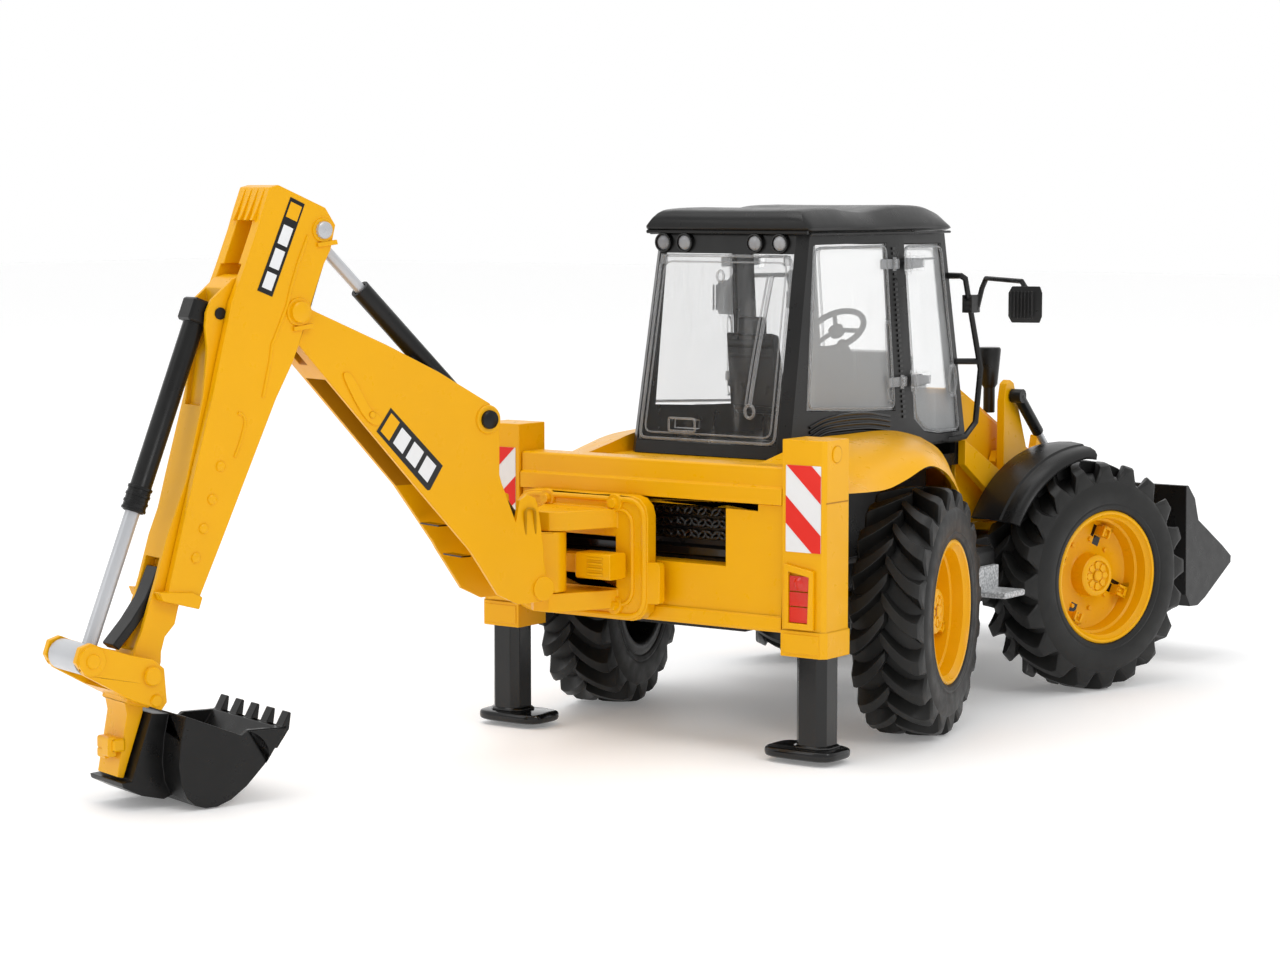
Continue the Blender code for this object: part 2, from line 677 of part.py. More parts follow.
# ---------------------------------------------------------------- rear frame
def rear_frame_shape():
    front = FRAME_REAR_Y - FRAME_DEPTH
    wide = FRAME_HALF_WIDTH
    panel = block((-wide, wide), (front, FRAME_REAR_Y - 1.5), (FRAME_BOTTOM_Z + 1, 90.4))
    beam = prism([(front, 90), (FRAME_REAR_Y, 90.6), (FRAME_REAR_Y, 96.3), (FRAME_REAR_Y - 1.2, 97),
                  (FRAME_REAR_Y - 1.2, FRAME_TOP_Z - 0.6), (FRAME_REAR_Y - 2, FRAME_TOP_Z), (front, FRAME_TOP_Z)],
                 "x", -wide, wide)
    lip = prism([(front, FRAME_BOTTOM_Z), (FRAME_REAR_Y - 0.6, FRAME_BOTTOM_Z), (FRAME_REAR_Y, 46.6),
                 (FRAME_REAR_Y, 51.0), (FRAME_REAR_Y - 1.4, 51.6), (front, 51.6)], "x", -wide, wide)
    opening = block((-33.4, 50), (front - 5, FRAME_REAR_Y + 5), (67.5, 88.3))
    step = block((-47, 52), (FRAME_REAR_Y - 2.6, FRAME_REAR_Y + 2), (88.2, 90.3))
    return cut(join(panel, beam, lip), opening, step)


def post_shape(side):
    corner = 1.3
    outline = [(POST_IN_X, FRAME_REAR_Y), (POST_IN_X, POST_FRONT_Y), (POST_OUT_X, POST_FRONT_Y),
               (POST_OUT_X, FRAME_REAR_Y - corner), (POST_OUT_X - corner, FRAME_REAR_Y)]
    case = prism(outline, "z", POST_BOTTOM_Z + 1.5, POST_TOP_Z)
    collar = [(POST_IN_X, FRAME_REAR_Y + 0.8), (POST_IN_X, POST_FRONT_Y - 0.4), (POST_OUT_X + 0.5, POST_FRONT_Y - 0.4),
              (POST_OUT_X + 0.5, FRAME_REAR_Y - corner), (POST_OUT_X - corner, FRAME_REAR_Y + 0.8)]
    foot = prism(collar, "z", POST_BOTTOM_Z, 47.2)
    bore = block((LEG_X[0] - GAP, LEG_X[1] + GAP), (LEG_Y[0] - GAP, LEG_Y[1] + GAP), (30, POST_TOP_Z - 1.8))
    return sided(cut(join(case, foot), bore), side)


def leg_shape(side):
    shank = block(LEG_X, LEG_Y, (FOOT_Z + 2, 78.0))
    middle = (sum(LEG_X) / 2 - 3.6, sum(LEG_Y) / 2)
    outline = []
    for i in range(20):
        turn = 2 * math.pi * i / 20
        c, s = math.cos(turn), math.sin(turn)
        outline.append((middle[0] + math.copysign(abs(c) ** 0.55, c) * 14.6,
                        middle[1] + math.copysign(abs(s) ** 0.55, s) * 9.6))
    pad = prism(outline, "z", FOOT_Z, FOOT_Z + FOOT_THICKNESS)
    return sided(join(shank, pad), side)


def tail_light_shape(side):
    outline = [(61.4, 48.6), (70.6, 48.6), (71.4, 67.0), (61.4, 68.6)]
    return sided(prism(outline, "y", FRAME_REAR_Y + GAP, FRAME_REAR_Y + 1.8), side)


# ---------------------------------------------------------------- backhoe
def carriage_shape():
    """Sliding plate with two arms that hold the king post."""
    x0, x1 = SHIFT_X - 29.8, SHIFT_X + 29.8
    corner = 7.0
    outline = []
    for cx, cz, base in ((x1 - corner, 91 - corner, 0), (x0 + corner, 91 - corner, 90),
                         (x0 + corner, 45.6 + corner, 180), (x1 - corner, 45.6 + corner, 270)):
        for k in range(4):
            turn = math.radians(base + 30 * k)
            outline.append((cx + math.cos(turn) * corner, cz + math.sin(turn) * corner))
    plate = prism(outline, "y", FRAME_REAR_Y + GAP, FRAME_REAR_Y + 5.5)
    shape = plate
    for low, high in ((79.0, 86.0), (49.8, 56.6)):
        arm = [(SHIFT_X - 17, FRAME_REAR_Y + 4), (SHIFT_X + 17, FRAME_REAR_Y + 4),
               (SHIFT_X + 7, KINGPOST_Y + 1.5), (SHIFT_X + 3.5, KINGPOST_Y + 4.5),
               (SHIFT_X - 3.5, KINGPOST_Y + 4.5), (SHIFT_X - 7, KINGPOST_Y + 1.5)]
        shape = join(shape, prism(arm, "z", low, high))
    for z in (72.0, 60.5):
        slot = block((SHIFT_X - 15.5, SHIFT_X + 15.5), (FRAME_REAR_Y - 2, FRAME_REAR_Y + 10), (z - 3.8, z + 3.8))
        shape = cut(shape, slot)
    bolts = [turned([(0, 0), (0, 2.6), (1.4, 2.2), (1.4, 0)],
                    (SHIFT_X + sx * 15.4, FRAME_REAR_Y + 5.2, z), (0, 1, 0), 8)
             for sx in (-1, 1) for z in (88.0, 50.8)]
    return join(shape, *[b for b in bolts])


def king_post_shape():
    """Turning block with the pivot ears of the boom and its ram."""
    column = rod((0, 0, 56.9), (0, 0, 78.7), 6.4, 20)
    low = block((-5.8, 5.8), (0, 15), (57.0, 66.0), 0.8)
    ears = cut(prism([(0, 64), (15, 64), (15, 78), (12.5, 81), (9.2, 81), (8.2, 78.6), (0, 78.6)],
                     "x", -5.8, 5.8),
               prism([(5.4, 71), (5.4, 90), (20, 90), (20, 71)], "x", -3.3, 3.3))
    pin = rod((-10.3, *BOOM_PIVOT), (10.3, *BOOM_PIVOT), 3.0, 14)
    return join(column, low, ears, pin)


def boom_width(inset):
    """The boom's outline from behind: its foot is wider than its tip."""
    tip, foot = BOOM_HALF_WIDTH - inset, BOOM_FOOT_HALF_WIDTH - inset
    return [(-foot, 40), (-foot, 74), (-tip, 98), (-tip, 180), (tip, 180), (tip, 98), (foot, 74), (foot, 40)]


def boom_shape():
    """An open channel: two side plates under a bent top web."""
    side = [(8.4, 57.5), (12, 55.2), (22, 55.1), (30.5, 59.2), (42.5, 76.4), (61, 98.3), (108.2, 149.5),
            (113.2, 156), (114.2, 161), (111.5, 164.8), (108, 165.2), (101.8, 160.3), (72.9, 147.9),
            (51.8, 137.9), (30.7, 126.2), (26.6, 119.9), (26.7, 100.9), (21.5, 84), (19.0, 91.5),
            (15.4, 93.4), (12.2, 92), (11.2, 88), (10.8, 70)]
    half = BOOM_HALF_WIDTH
    solid = overlap(prism(side, "x", -20, 20), prism(boom_width(0), "y", -5, 130))
    lower_room = [(-5, 40), (28, 48), (43.5, 76.4), (63, 98.3), (96, 132.6), (97.5, 151), (95, 155.2),
                  (66, 142.4), (60, 139.6), (60, 160), (-5, 160)]
    room = overlap(prism(lower_room, "x", -20, 20), prism(boom_width(PLATE), "y", -10, 130))
    tip_room = [(101, 140), (120, 140), (120, 170), (101, 170)]
    shape = cut(solid, room, prism(tip_room, "x", -2.5, 2.5))
    for s in (-1, 1):
        head = rod((s * (half - 1), *DIPPER_RAM[0]), (s * (half + 1.2), *DIPPER_RAM[0]), 2.7, 14)
        foot = rod((s * (BOOM_FOOT_HALF_WIDTH - PLATE + 0.1), *BOOM_PIVOT),
                   (s * (BOOM_FOOT_HALF_WIDTH + 1.2), *BOOM_PIVOT), 4.4, 14)
        shape = join(shape, head, foot)
    return shape


def dipper_outer_shape():
    """A beam with a fork at its top for the boom and a groove down its back."""
    side = [(115.7, 202), (118.9, 201.2), (121.7, 193.7), (123.9, 187.2), (128.9, 174.6), (133.8, 163.3),
            (135.3, 156.6), (138.4, 144.5), (141.2, 133), (148.7, 106.2), (153.7, 87.8), (158.6, 69.6),
            (147, 67.5), (139, 84.5), (129.6, 105.1), (117.4, 131.5), (111.5, 142.2), (108.7, 148.3),
            (102.7, 164.3), (98.5, 175.6), (95.9, 180.3), (93.9, 188.6), (97.7, 194.4)]
    half = DIPPER_HALF_WIDTH
    groove_half = INNER_HALF_WIDTH + GAP
    collar = prism([(146.4, 67.6), (147.7, 63.7), (161.0, 67.4), (162.2, 70.4), (150, 69.4)], "x", -half - 1, half + 1)
    shape = join(prism(side, "x", -half, half), collar)
    for s in (-1, 1):
        pins = [rod((s * (half - 0.8), *point), (s * (half + 1.2), *point), radius, 14)
                for point, radius in ((DIPPER_PIVOT, 3.6), (DIPPER_RAM[1], 3.0))]
        shape = join(shape, *pins)
    fork = [(88, 150), (88, 186.5), (98, 195.5), (113.5, 197.5), (116, 190), (117.6, 165), (117.6, 152),
            (115, 146), (104, 138), (96, 138)]
    groove = [slide_line(-0.4, 112), (122, 176), (180, 176), (180, 50), slide_line(-0.4, -14)]
    window = [(112, 190.5), (135, 190.5), (135, 170), (119, 170), (112, 176)]
    return cut(shape, prism(fork, "x", -half + 1.6, half - 1.6),
               prism(groove, "x", -groove_half, groove_half), prism(window, "x", -5, 5))


def slide_line(offset, rise):
    """A point on the sliding beam's front face, a length up it from the collar."""
    return (153.0 + offset - math.sin(DIPPER_LEAN) * rise, 64.4 + math.cos(DIPPER_LEAN) * rise)


def dipper_inner_shape():
    """The sliding beam, with the eyes of the ram and of the bucket's pivot."""
    y, z = TILT_PIVOT
    half = INNER_HALF_WIDTH
    outline = [slide_line(0, 110), (127, 172.6), (131.3, 171.3), (135, 168.1), (139.3, 164.5), (141.2, 160.3),
               (141.6, 155.7), (141, 148.7), (141.5, 144), (142.9, 132.4), (149.4, 106), (156.8, 87.7),
               (160.9, 74), (164, 64.9), (166.4, 57.6), (168.6, 52.9), (170, 49), (y + 5, z), (y + 3.5, z - 3.6),
               (y, z - 5.1), (y - 3.7, z - 3.7), (y - 5.2, z), (159.7, 46.7), (159.5, 50.4), (158.1, 55),
               (154.4, 58.9), slide_line(0, 0)]
    band_room = [(155, 79.6), (175, 86.6), (180, 50), (167, 51.5), (162, 60), (157.4, 70)]
    ram_room = [(134.8, 180), (134.8, 154), (139.2, 146), (141.6, 130), (160, 130), (160, 180)]
    return cut(prism(outline, "x", -half, half), prism(band_room, "x", -4.6, 4.6),
               prism(ram_room, "x", -4.9, 4.9))


def bucket_ram_shapes():
    """Barrel with its head block, and rod with the wide eye on its end."""
    start, end = plane_point(BUCKET_RAM[0]), plane_point(BUCKET_RAM[1])
    eye = plane_point(BUCKET_RAM_EYE)
    along = (end - start).normalized()
    bore = ROD_RADIUS + 0.4
    barrel = turned([(0, 0), (0, RAM_RADIUS), (61, RAM_RADIUS), (61.5, RAM_RADIUS + 0.3),
                     (69, RAM_RADIUS + 0.3), (70, RAM_RADIUS - 0.2), (70, bore), (2.5, bore), (2.5, 0)],
                    start, along, 16)
    head = block((-4.4, 4.4), (-4.6, 4.6), (-4.6, 3.4), 0.8)
    bmesh.ops.rotate(head, cent=(0, 0, 0), matrix=Matrix.Rotation(math.radians(21), 3, "X"), verts=head.verts)
    bmesh.ops.translate(head, vec=start + along * 0.4, verts=head.verts)
    bar = join(rod(start + along * 30.0, end, ROD_RADIUS, 16),
               rod(eye - Vector((9.2, 0, 0)), eye + Vector((9.2, 0, 0)), 5.0, 18))
    return join(barrel, head), bar


def rocker_shape():
    """Two cheek plates over a hitch that the bucket clips on to."""
    rear = BUCKET_RAM_EYE
    side = [(189.8, 45.9), (193.0, 50.4), (191.4, 55.0), (187.4, 56.2), (183.8, 54.6), (172.7, 50.8),
            (165.2, 48.9), (161.4, 45.6), (160.6, 34.5), (162.6, 32.0), (173.3, 36.4)]
    solid = prism(side, "x", -12.0, 12.0)
    room = [(150, 70), (200, 70), (200, 40), (176.5, 39.8), (174.5, 38.0), (154.0, 38.0)]
    cheeks = cut(solid, prism(room, "x", -9.7, 9.7))
    heads = [rod((s * 9.9, *TILT_PIVOT), (s * 12.8, *TILT_PIVOT), 3.0, 12) for s in (-1, 1)]
    discs = [rod((s * 11.5, *rear), (s * 12.9, *rear), 4.8, 16) for s in (-1, 1)]
    core = prism([(166.6, 38.4), (174.0, 38.4), (172.6, 31.0), (176.4, 10.9), (174.2, 10.2), (166.8, 31.2)],
                 "x", -7.0, 7.0)
    plate = prism([(164.6, 34.3), (165.6, 32.6), (173.6, 35.0), (173.2, 36.8)], "x", -8.7, 8.7)
    catch = block((-7.5, 4.5), (173.4, 178.0), (19.0, 23.4), 0.6)
    return join(cheeks, core, plate, catch, *heads, *discs)


def backhoe_bucket_shape():
    half = BACKHOE_BUCKET_HALF
    outer = [(159.7, 31.2), (139.2, 22.8), (136.9, 24.4), (122.6, 24.0), (130.7, 12.4), (137.7, 5.8),
             (143.5, 2.0), (148.7, 0.3), (152.8, 0.3), (156.5, 1.4), (159.6, 4.2), (161.6, 8.6),
             (162.4, 14.8), (161.6, 23.0)]
    inner = [(157.4, 40), (159.4, 24.0), (160.0, 14.8), (159.3, 9.4), (157.6, 6.0), (154.8, 3.4),
             (149.0, 2.6), (144.6, 4.0), (139.4, 7.4), (132.8, 13.8), (124.6, 25.4), (120, 40)]
    shell = cut(prism(outer, "x", -half, half), prism(inner, "x", 2 - half, half - 2))
    bracket = prism([(159.4, 30.6), (165.9, 31.2), (173.4, 9.7), (177.0, 9.5), (176.6, 8.0), (170, 4.6),
                     (162, 2.6), (158.2, 4.0), (160.8, 9.0), (161.4, 15)], "x", -11.5, 11.5)
    teeth = []
    for i in range(5):
        x = (half - 2.4) * (i / 2 - 1)
        teeth.append(prism([(127.5, 18.2), (121.4, 28.8), (120.6, 28.4), (121.4, 23.0), (126.0, 17.0)],
                           "x", x - 2.3, x + 2.3))
    return join(shell, bracket, *teeth)


def hose_shape():
    """A flat band that curves out of the sliding beam towards the hitch."""
    line = [(157.6, 77.4), (160.4, 71.2), (162.6, 67.0), (167.8, 60.0), (174.6, 52.6)]
    sections = []
    for i, (y, z) in enumerate(line):
        before, after = line[max(i - 1, 0)], line[min(i + 1, len(line) - 1)]
        along = Vector((after[0] - before[0], after[1] - before[1])).normalized()
        across = Vector((-along.y, along.x)) * 1.5
        ring = [(-4, y + across.x, z + across.y), (4, y + across.x, z + across.y),
                (4, y - across.x, z - across.y), (-4, y - across.x, z - across.y)]
        sections.append(ring)
    return loft(sections)


# ---------------------------------------------------------------- assembly
def build():
    for obj in list(bpy.data.objects):
        bpy.data.objects.remove(obj)
    mats = make_materials()
    yellow, black, clear, silver = mats["yellow"], mats["black"], mats["clear"], mats["silver"]
    root = pivot("machine", FRAME_SHIFT)

    add("chassis", join(chassis_shape(), *front_axle_parts()), black, root)
    for end in (-1, 1):
        for side in (-1, 1):
            wheel_pieces(mats, root, end, side)

    add("body_shell", body_shell_shape(), yellow, root)
    add("rear_frame", rear_frame_shape(), yellow, root)
    bonnet_hinge = joint_empty("bonnet_hinge", (0, -25.8, 122.4), root)
    add("bonnet", bonnet_shape(), yellow, bonnet_hinge)
    add("intake_stack", stack_shape(), black, bonnet_hinge, True)

    for side, label in ((1, "left"), (-1, "right")):
        add("post_" + label, post_shape(side), yellow, root)
        slide = joint_empty("leg_slide_" + label, (side * sum(LEG_X) / 2, sum(LEG_Y) / 2, 0), root)
        add("leg_" + label, leg_shape(side), black, slide)
        add("tail_light_" + label, tail_light_shape(side), mats["red"], root)
        add("step_" + label, step_shape(side), silver, root)
        add("side_window_" + label, pane(SIDE_WINDOW, "x", *sorted((side * 20, side * 50))), clear, root)
        hinge = joint_empty("door_hinge_" + label, (side * 38.2, 22.7, 150.0), root)
        add("door_" + label, door_pane(side), clear, hinge)
        mirror_axis = joint_empty("mirror_axis_" + label, (side * 41.2, -17.3, 155.0), root)
        add("mirror_" + label, mirror_shape(side), black, mirror_axis)

    frame = join(cab_frame_shape(), *mirror_bar(1), *mirror_bar(-1))
    add("cab_frame", frame, black, root)
    add("cab_roof", roof_shape(), black, root)
    add("windscreen", pane(WINDSCREEN, "y", -40, 6), clear, root)
    window_hinge = joint_empty("rear_window_hinge", (0, 93.4, 176.7), root)
    add("rear_window", rear_pane(), clear, window_hinge)
    add("dashboard", dashboard_shape(), black, root)
    wheel_axis = joint_empty("steering_axis", (-2, 19.0, 146.0), root)
    add("steering_wheel", steering_wheel_shape(), black, wheel_axis, True)
    seat_axis = joint_empty("seat_axis", (0, 58, 112), root)
    add("seat", seat_shape(), black, seat_axis)

    add("loader_frame", loader_frame_shape(), yellow, root)
    lift = joint_empty("loader_lift", (0, *LIFT_PIVOT), root)
    add("loader_arms", loader_arms_shape(), yellow, lift)
    dump = joint_empty("loader_tilt", (0, *BUCKET_PIVOT), root)
    add("loader_bucket", loader_bucket_shape(), black, dump)
    barrels, rods = lift_rams()
    barrel_axis = joint_empty("lift_ram_axis", (0, *LIFT_RAM_TOP), root)
    for shape, bar, label in zip(barrels, rods, ("right", "left")):
        add("lift_ram_barrel_" + label, shape, black, barrel_axis, True)
        add("lift_ram_rod_" + label, bar, silver, barrel_axis, True)

    build_backhoe(mats, root)


def build_backhoe(mats, root):
    yellow, black, silver = mats["yellow"], mats["black"], mats["silver"]
    shift = joint_empty("side_shift", (SHIFT_X, FRAME_REAR_Y, 68), root)
    add("carriage", carriage_shape(), yellow, shift)
    plane = pivot("backhoe_swing", (SHIFT_X, KINGPOST_Y, 0), root, -SWING)
    add("king_post", king_post_shape(), yellow, plane)
    boom_axis = joint_empty("boom_axis", (0, *BOOM_PIVOT), plane)
    add("boom", boom_shape(), yellow, boom_axis)
    dipper_axis = joint_empty("dipper_axis", (0, *DIPPER_PIVOT), plane)
    add("dipper_outer", dipper_outer_shape(), yellow, dipper_axis)
    slide = joint_empty("dipper_slide", (0, 150.0, 100.0), plane)
    add("dipper_inner", dipper_inner_shape(), yellow, slide)
    add("hose", hose_shape(), black, slide)
    tilt = joint_empty("bucket_axis", (0, *TILT_PIVOT), plane)
    add("rocker", rocker_shape(), yellow, tilt)
    add("backhoe_bucket", backhoe_bucket_shape(), black, tilt)

    barrel, bar = ram(*BOOM_RAM, 0.0, 34.0, 18.0, 2.9, 1.8)
    boom_ram_axis = joint_empty("boom_ram_axis", (0, *BOOM_RAM[0]), plane)
    add("boom_ram_barrel", barrel, black, boom_ram_axis, True)
    add("boom_ram_rod", bar, silver, boom_ram_axis, True)

    barrel, bar = ram(*DIPPER_RAM, 0.0, 66.0, 40.0, 3.5, 2.0)
    dipper_ram_axis = joint_empty("dipper_ram_axis", (0, *DIPPER_RAM[0]), plane)
    add("dipper_ram_barrel", barrel, black, dipper_ram_axis, True)
    add("dipper_ram_rod", bar, silver, dipper_ram_axis, True)

    barrel, bar = bucket_ram_shapes()
    bucket_ram_axis = joint_empty("bucket_ram_axis", (0, *BUCKET_RAM[0]), plane)
    add("bucket_ram_barrel", barrel, black, bucket_ram_axis, True)
    add("bucket_ram_rod", bar, silver, bucket_ram_axis, True)


FRAME_SHIFT = (-0.6742, -85.5376, -0.0630)

build()
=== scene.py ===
import json
import math

import bmesh
import bpy
from mathutils import Matrix, Vector


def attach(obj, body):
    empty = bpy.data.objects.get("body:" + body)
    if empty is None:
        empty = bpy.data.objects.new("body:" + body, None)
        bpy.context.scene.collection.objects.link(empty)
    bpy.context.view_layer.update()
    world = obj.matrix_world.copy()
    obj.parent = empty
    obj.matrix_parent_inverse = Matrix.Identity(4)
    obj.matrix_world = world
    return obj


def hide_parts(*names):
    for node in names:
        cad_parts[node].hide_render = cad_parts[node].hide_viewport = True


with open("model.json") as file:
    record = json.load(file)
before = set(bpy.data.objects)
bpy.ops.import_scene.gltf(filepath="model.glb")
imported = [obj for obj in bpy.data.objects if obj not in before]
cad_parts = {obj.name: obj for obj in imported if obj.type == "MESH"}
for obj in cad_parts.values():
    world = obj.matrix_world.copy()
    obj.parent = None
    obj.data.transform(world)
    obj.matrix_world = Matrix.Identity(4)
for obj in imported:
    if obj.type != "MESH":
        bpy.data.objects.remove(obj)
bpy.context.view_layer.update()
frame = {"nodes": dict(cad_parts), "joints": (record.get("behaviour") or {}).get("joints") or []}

# ---------------------------------------------------------------- places
# Lengths below are in millimetres. MACHINE has x across, y to the rear and z up,
# from the point on the ground between the axles. ARM is the digging arm's upright
# plane: x across the arm, y outwards from the king post and z up.
MM = 0.001
UP = Vector((0, 0, 1))
JOINTS = {joint["name"]: joint for joint in frame["joints"]}
LIFT_PIVOT = (0.0, -56.0, 90.0)
LUGS = 20


def joint_at(name):
    return Vector(JOINTS[name]["pos_m"])


def joint_axis(name):
    return Vector(JOINTS[name]["axis"]).normalized()


def placed(origin, across):
    """Millimetres in axes whose x is across and z is up, to the frame's metres."""
    back = UP.cross(across).normalized()
    turn = Matrix((across, back, UP)).transposed().to_4x4()
    return Matrix.Translation(origin) @ turn @ Matrix.Scale(MM, 4)


ORIGIN = joint_at("loader_lift") - Vector(LIFT_PIVOT) * MM
MACHINE = placed(ORIGIN, Vector((1, 0, 0)))
SWING_POST = joint_at("boom_swing")
ARM = placed(Vector((SWING_POST.x, SWING_POST.y, ORIGIN.z)), joint_axis("boom_lift"))
CORNERS = [(end, side) for end in ("front", "rear") for side in ("left", "right")]
SIGN = {"left": 1, "right": -1}


def wheel_place(label):
    return placed(joint_at("spin_" + label), joint_axis("spin_" + label))


# ---------------------------------------------------------------- materials
def new_material(name):
    material = bpy.data.materials.new(name)
    material.use_nodes = True
    tree = material.node_tree
    return material, tree, tree.nodes["Principled BSDF"]


def object_noise(tree, scale, detail=2.0, stretch=None):
    coordinates = tree.nodes.new("ShaderNodeTexCoord")
    noise = tree.nodes.new("ShaderNodeTexNoise")
    noise.inputs["Scale"].default_value = scale
    noise.inputs["Detail"].default_value = detail
    if stretch:
        mapping = tree.nodes.new("ShaderNodeMapping")
        mapping.inputs["Scale"].default_value = stretch
        tree.links.new(coordinates.outputs["Object"], mapping.inputs["Vector"])
        tree.links.new(mapping.outputs["Vector"], noise.inputs["Vector"])
    else:
        tree.links.new(coordinates.outputs["Object"], noise.inputs["Vector"])
    return noise.outputs["Fac"]


def ranged(tree, value, from_low, from_high, to_low, to_high):
    node = tree.nodes.new("ShaderNodeMapRange")
    node.inputs["From Min"].default_value = from_low
    node.inputs["From Max"].default_value = from_high
    node.inputs["To Min"].default_value = to_low
    node.inputs["To Max"].default_value = to_high
    tree.links.new(value, node.inputs["Value"])
    return node.outputs["Result"]


def tinted(tree, value, first, second):
    ramp = tree.nodes.new("ShaderNodeValToRGB")
    ramp.color_ramp.elements[0].position = 0.3
    ramp.color_ramp.elements[1].position = 0.7
    ramp.color_ramp.elements[0].color = (*first, 1)
    ramp.color_ramp.elements[1].color = (*second, 1)
    tree.links.new(value, ramp.inputs["Fac"])
    return ramp.outputs["Color"]


def bumped(tree, shader, value, strength, distance):
    bump = tree.nodes.new("ShaderNodeBump")
    bump.inputs["Strength"].default_value = strength
    bump.inputs["Distance"].default_value = distance
    tree.links.new(value, bump.inputs["Height"])
    tree.links.new(bump.outputs["Normal"], shader.inputs["Normal"])


def moulded(name, first, second, smooth, rough, grain, depth, coat=0.0, metallic=0.0, sheen=0.25):
    """Moulded plastic: a slow drift of tint, uneven gloss and a fine mould grain."""
    material, tree, shader = new_material(name)
    tint = tinted(tree, object_noise(tree, 25.0, 3.0), first, second)
    tree.links.new(tint, shader.inputs["Base Color"])
    gloss = ranged(tree, object_noise(tree, 180.0, 4.0), 0.3, 0.7, smooth, rough)
    tree.links.new(gloss, shader.inputs["Roughness"])
    bumped(tree, shader, object_noise(tree, grain, 2.0), 0.35, depth)
    shader.inputs["Coat Weight"].default_value = coat
    shader.inputs["Coat Roughness"].default_value = 0.12
    shader.inputs["Metallic"].default_value = metallic
    shader.inputs["Specular IOR Level"].default_value = sheen
    return material


def clear_plastic(name, lowest, highest, tint, streak_amount):
    """Clear sheet: more of its pale face shows at a slant, painting the reflection that grows there, and more
    shows along faint long streaks.
    """
    material, tree, shader = new_material(name)
    shader.inputs["Base Color"].default_value = (*tint, 1)
    shader.inputs["IOR"].default_value = 1.58
    facing = tree.nodes.new("ShaderNodeLayerWeight")
    facing.inputs["Blend"].default_value = 0.25
    body = ranged(tree, facing.outputs["Fresnel"], 0.0, 1.0, lowest, highest)
    streaks = ranged(tree, object_noise(tree, 160.0, 6.0, (1.0, 1.0, 0.12)), 0.56, 0.74, 0.0, streak_amount)
    total = tree.nodes.new("ShaderNodeMath")
    total.operation = "ADD"
    total.use_clamp = True
    tree.links.new(body, total.inputs[0])
    tree.links.new(streaks, total.inputs[1])
    tree.links.new(total.outputs["Value"], shader.inputs["Alpha"])
    gloss = ranged(tree, object_noise(tree, 900.0, 3.0), 0.3, 0.7, 0.04, 0.14)
    tree.links.new(gloss, shader.inputs["Roughness"])
    return material


def knurled(name):
    """Silver-grey plastic with a fine pattern of raised dots."""
    material, tree, shader = new_material(name)
    coordinates = tree.nodes.new("ShaderNodeTexCoord")
    cells = tree.nodes.new("ShaderNodeTexVoronoi")
    cells.inputs["Scale"].default_value = 900.0
    tree.links.new(coordinates.outputs["Object"], cells.inputs["Vector"])
    tint = tinted(tree, cells.outputs["Distance"], (0.62, 0.63, 0.64), (0.34, 0.35, 0.36))
    tree.links.new(tint, shader.inputs["Base Color"])
    shader.inputs["Roughness"].default_value = 0.32
    bumped(tree, shader, cells.outputs["Distance"], 0.8, 0.0005)
    return material


YELLOW = moulded("yellow_plastic", (0.80, 0.39, 0.0), (0.84, 0.415, 0.0), 0.26, 0.38, 2600.0, 0.00002)
# Darker yellow: painted shade on the faces inside the boom's channel, and the dark seam line on the rear
# posts.
SHADE_AND_SEAM_YELLOW = moulded("yellow_painted_shade_and_seam", (0.42, 0.175, 0.0), (0.48, 0.20, 0.0), 0.4, 0.5, 2600.0, 0.00002)
BLACK = moulded("black_plastic", (0.006, 0.006, 0.006), (0.011, 0.011, 0.011), 0.24, 0.38, 3200.0, 0.00004)
SATIN = moulded("black_satin_plastic", (0.008, 0.008, 0.008), (0.013, 0.013, 0.013), 0.26, 0.36, 4200.0,
                0.00005,
                0.0, 0.0, 0.28)
GLOSS_BLACK = moulded("glossy_black_plastic", (0.004, 0.004, 0.004), (0.007, 0.007, 0.007), 0.10, 0.2, 900.0,
                      0.00004, 0.3)
TYRE = moulded("tyre_rubber", (0.008, 0.008, 0.008), (0.014, 0.014, 0.013), 0.36, 0.55, 2200.0, 0.00008, 0.0,
               0.0, 0.3)
SILVER = moulded("silver_plastic", (0.46, 0.47, 0.49), (0.56, 0.57, 0.59), 0.26, 0.38, 3000.0, 0.00003, 0.2,
                 0.35)
RED = moulded("red_film", (0.72, 0.020, 0.012), (0.78, 0.030, 0.020), 0.3, 0.4, 3000.0, 0.00001)
WHITE = moulded("white_film", (0.76, 0.77, 0.78), (0.82, 0.83, 0.84), 0.3, 0.4, 3000.0, 0.00001)
LENS_RED = moulded("red_lens", (0.50, 0.008, 0.004), (0.78, 0.035, 0.012), 0.1, 0.2, 1500.0, 0.00008, 0.6)
LAMP = moulded("lamp_lens", (0.16, 0.16, 0.17), (0.52, 0.53, 0.54), 0.08, 0.2, 1400.0, 0.0005, 0.8)
# Both clear materials paint a reflection into how much of their pale face shows at a slant.
CLEAR = clear_plastic("clear_plastic", 0.008, 0.35, (0.93, 0.95, 0.96), 0.07)
CLEAR_EDGE = clear_plastic("clear_plastic_edge", 0.30, 0.92, (0.42, 0.43, 0.44), 0.25)
KNURLED = knurled("silver_knurled_plastic")
GROUND = moulded("pale_floor", (0.93, 0.93, 0.93), (0.95, 0.95, 0.95), 0.5, 0.6, 300.0, 0.0001)
GROUND_SHADER = GROUND.node_tree.nodes["Principled BSDF"]
GROUND_SHADER.inputs["Emission Color"].default_value = (1.0, 1.0, 1.0, 1)
GROUND_SHADER.inputs["Emission Strength"].default_value = 0.16


# ---------------------------------------------------------------- shapes
def prism(outline, axis, low, high):
    """An outline pushed along x, y or z. Outlines are (y, z), (x, z) or (x, y)."""
    order = {"x": lambda p, d: (d, p[0], p[1]), "y": lambda p, d: (p[0], d, p[1]),
             "z": lambda p, d: (p[0], p[1], d)}[axis]
    return loft([[order(point, depth) for point in outline] for depth in (low, high)])


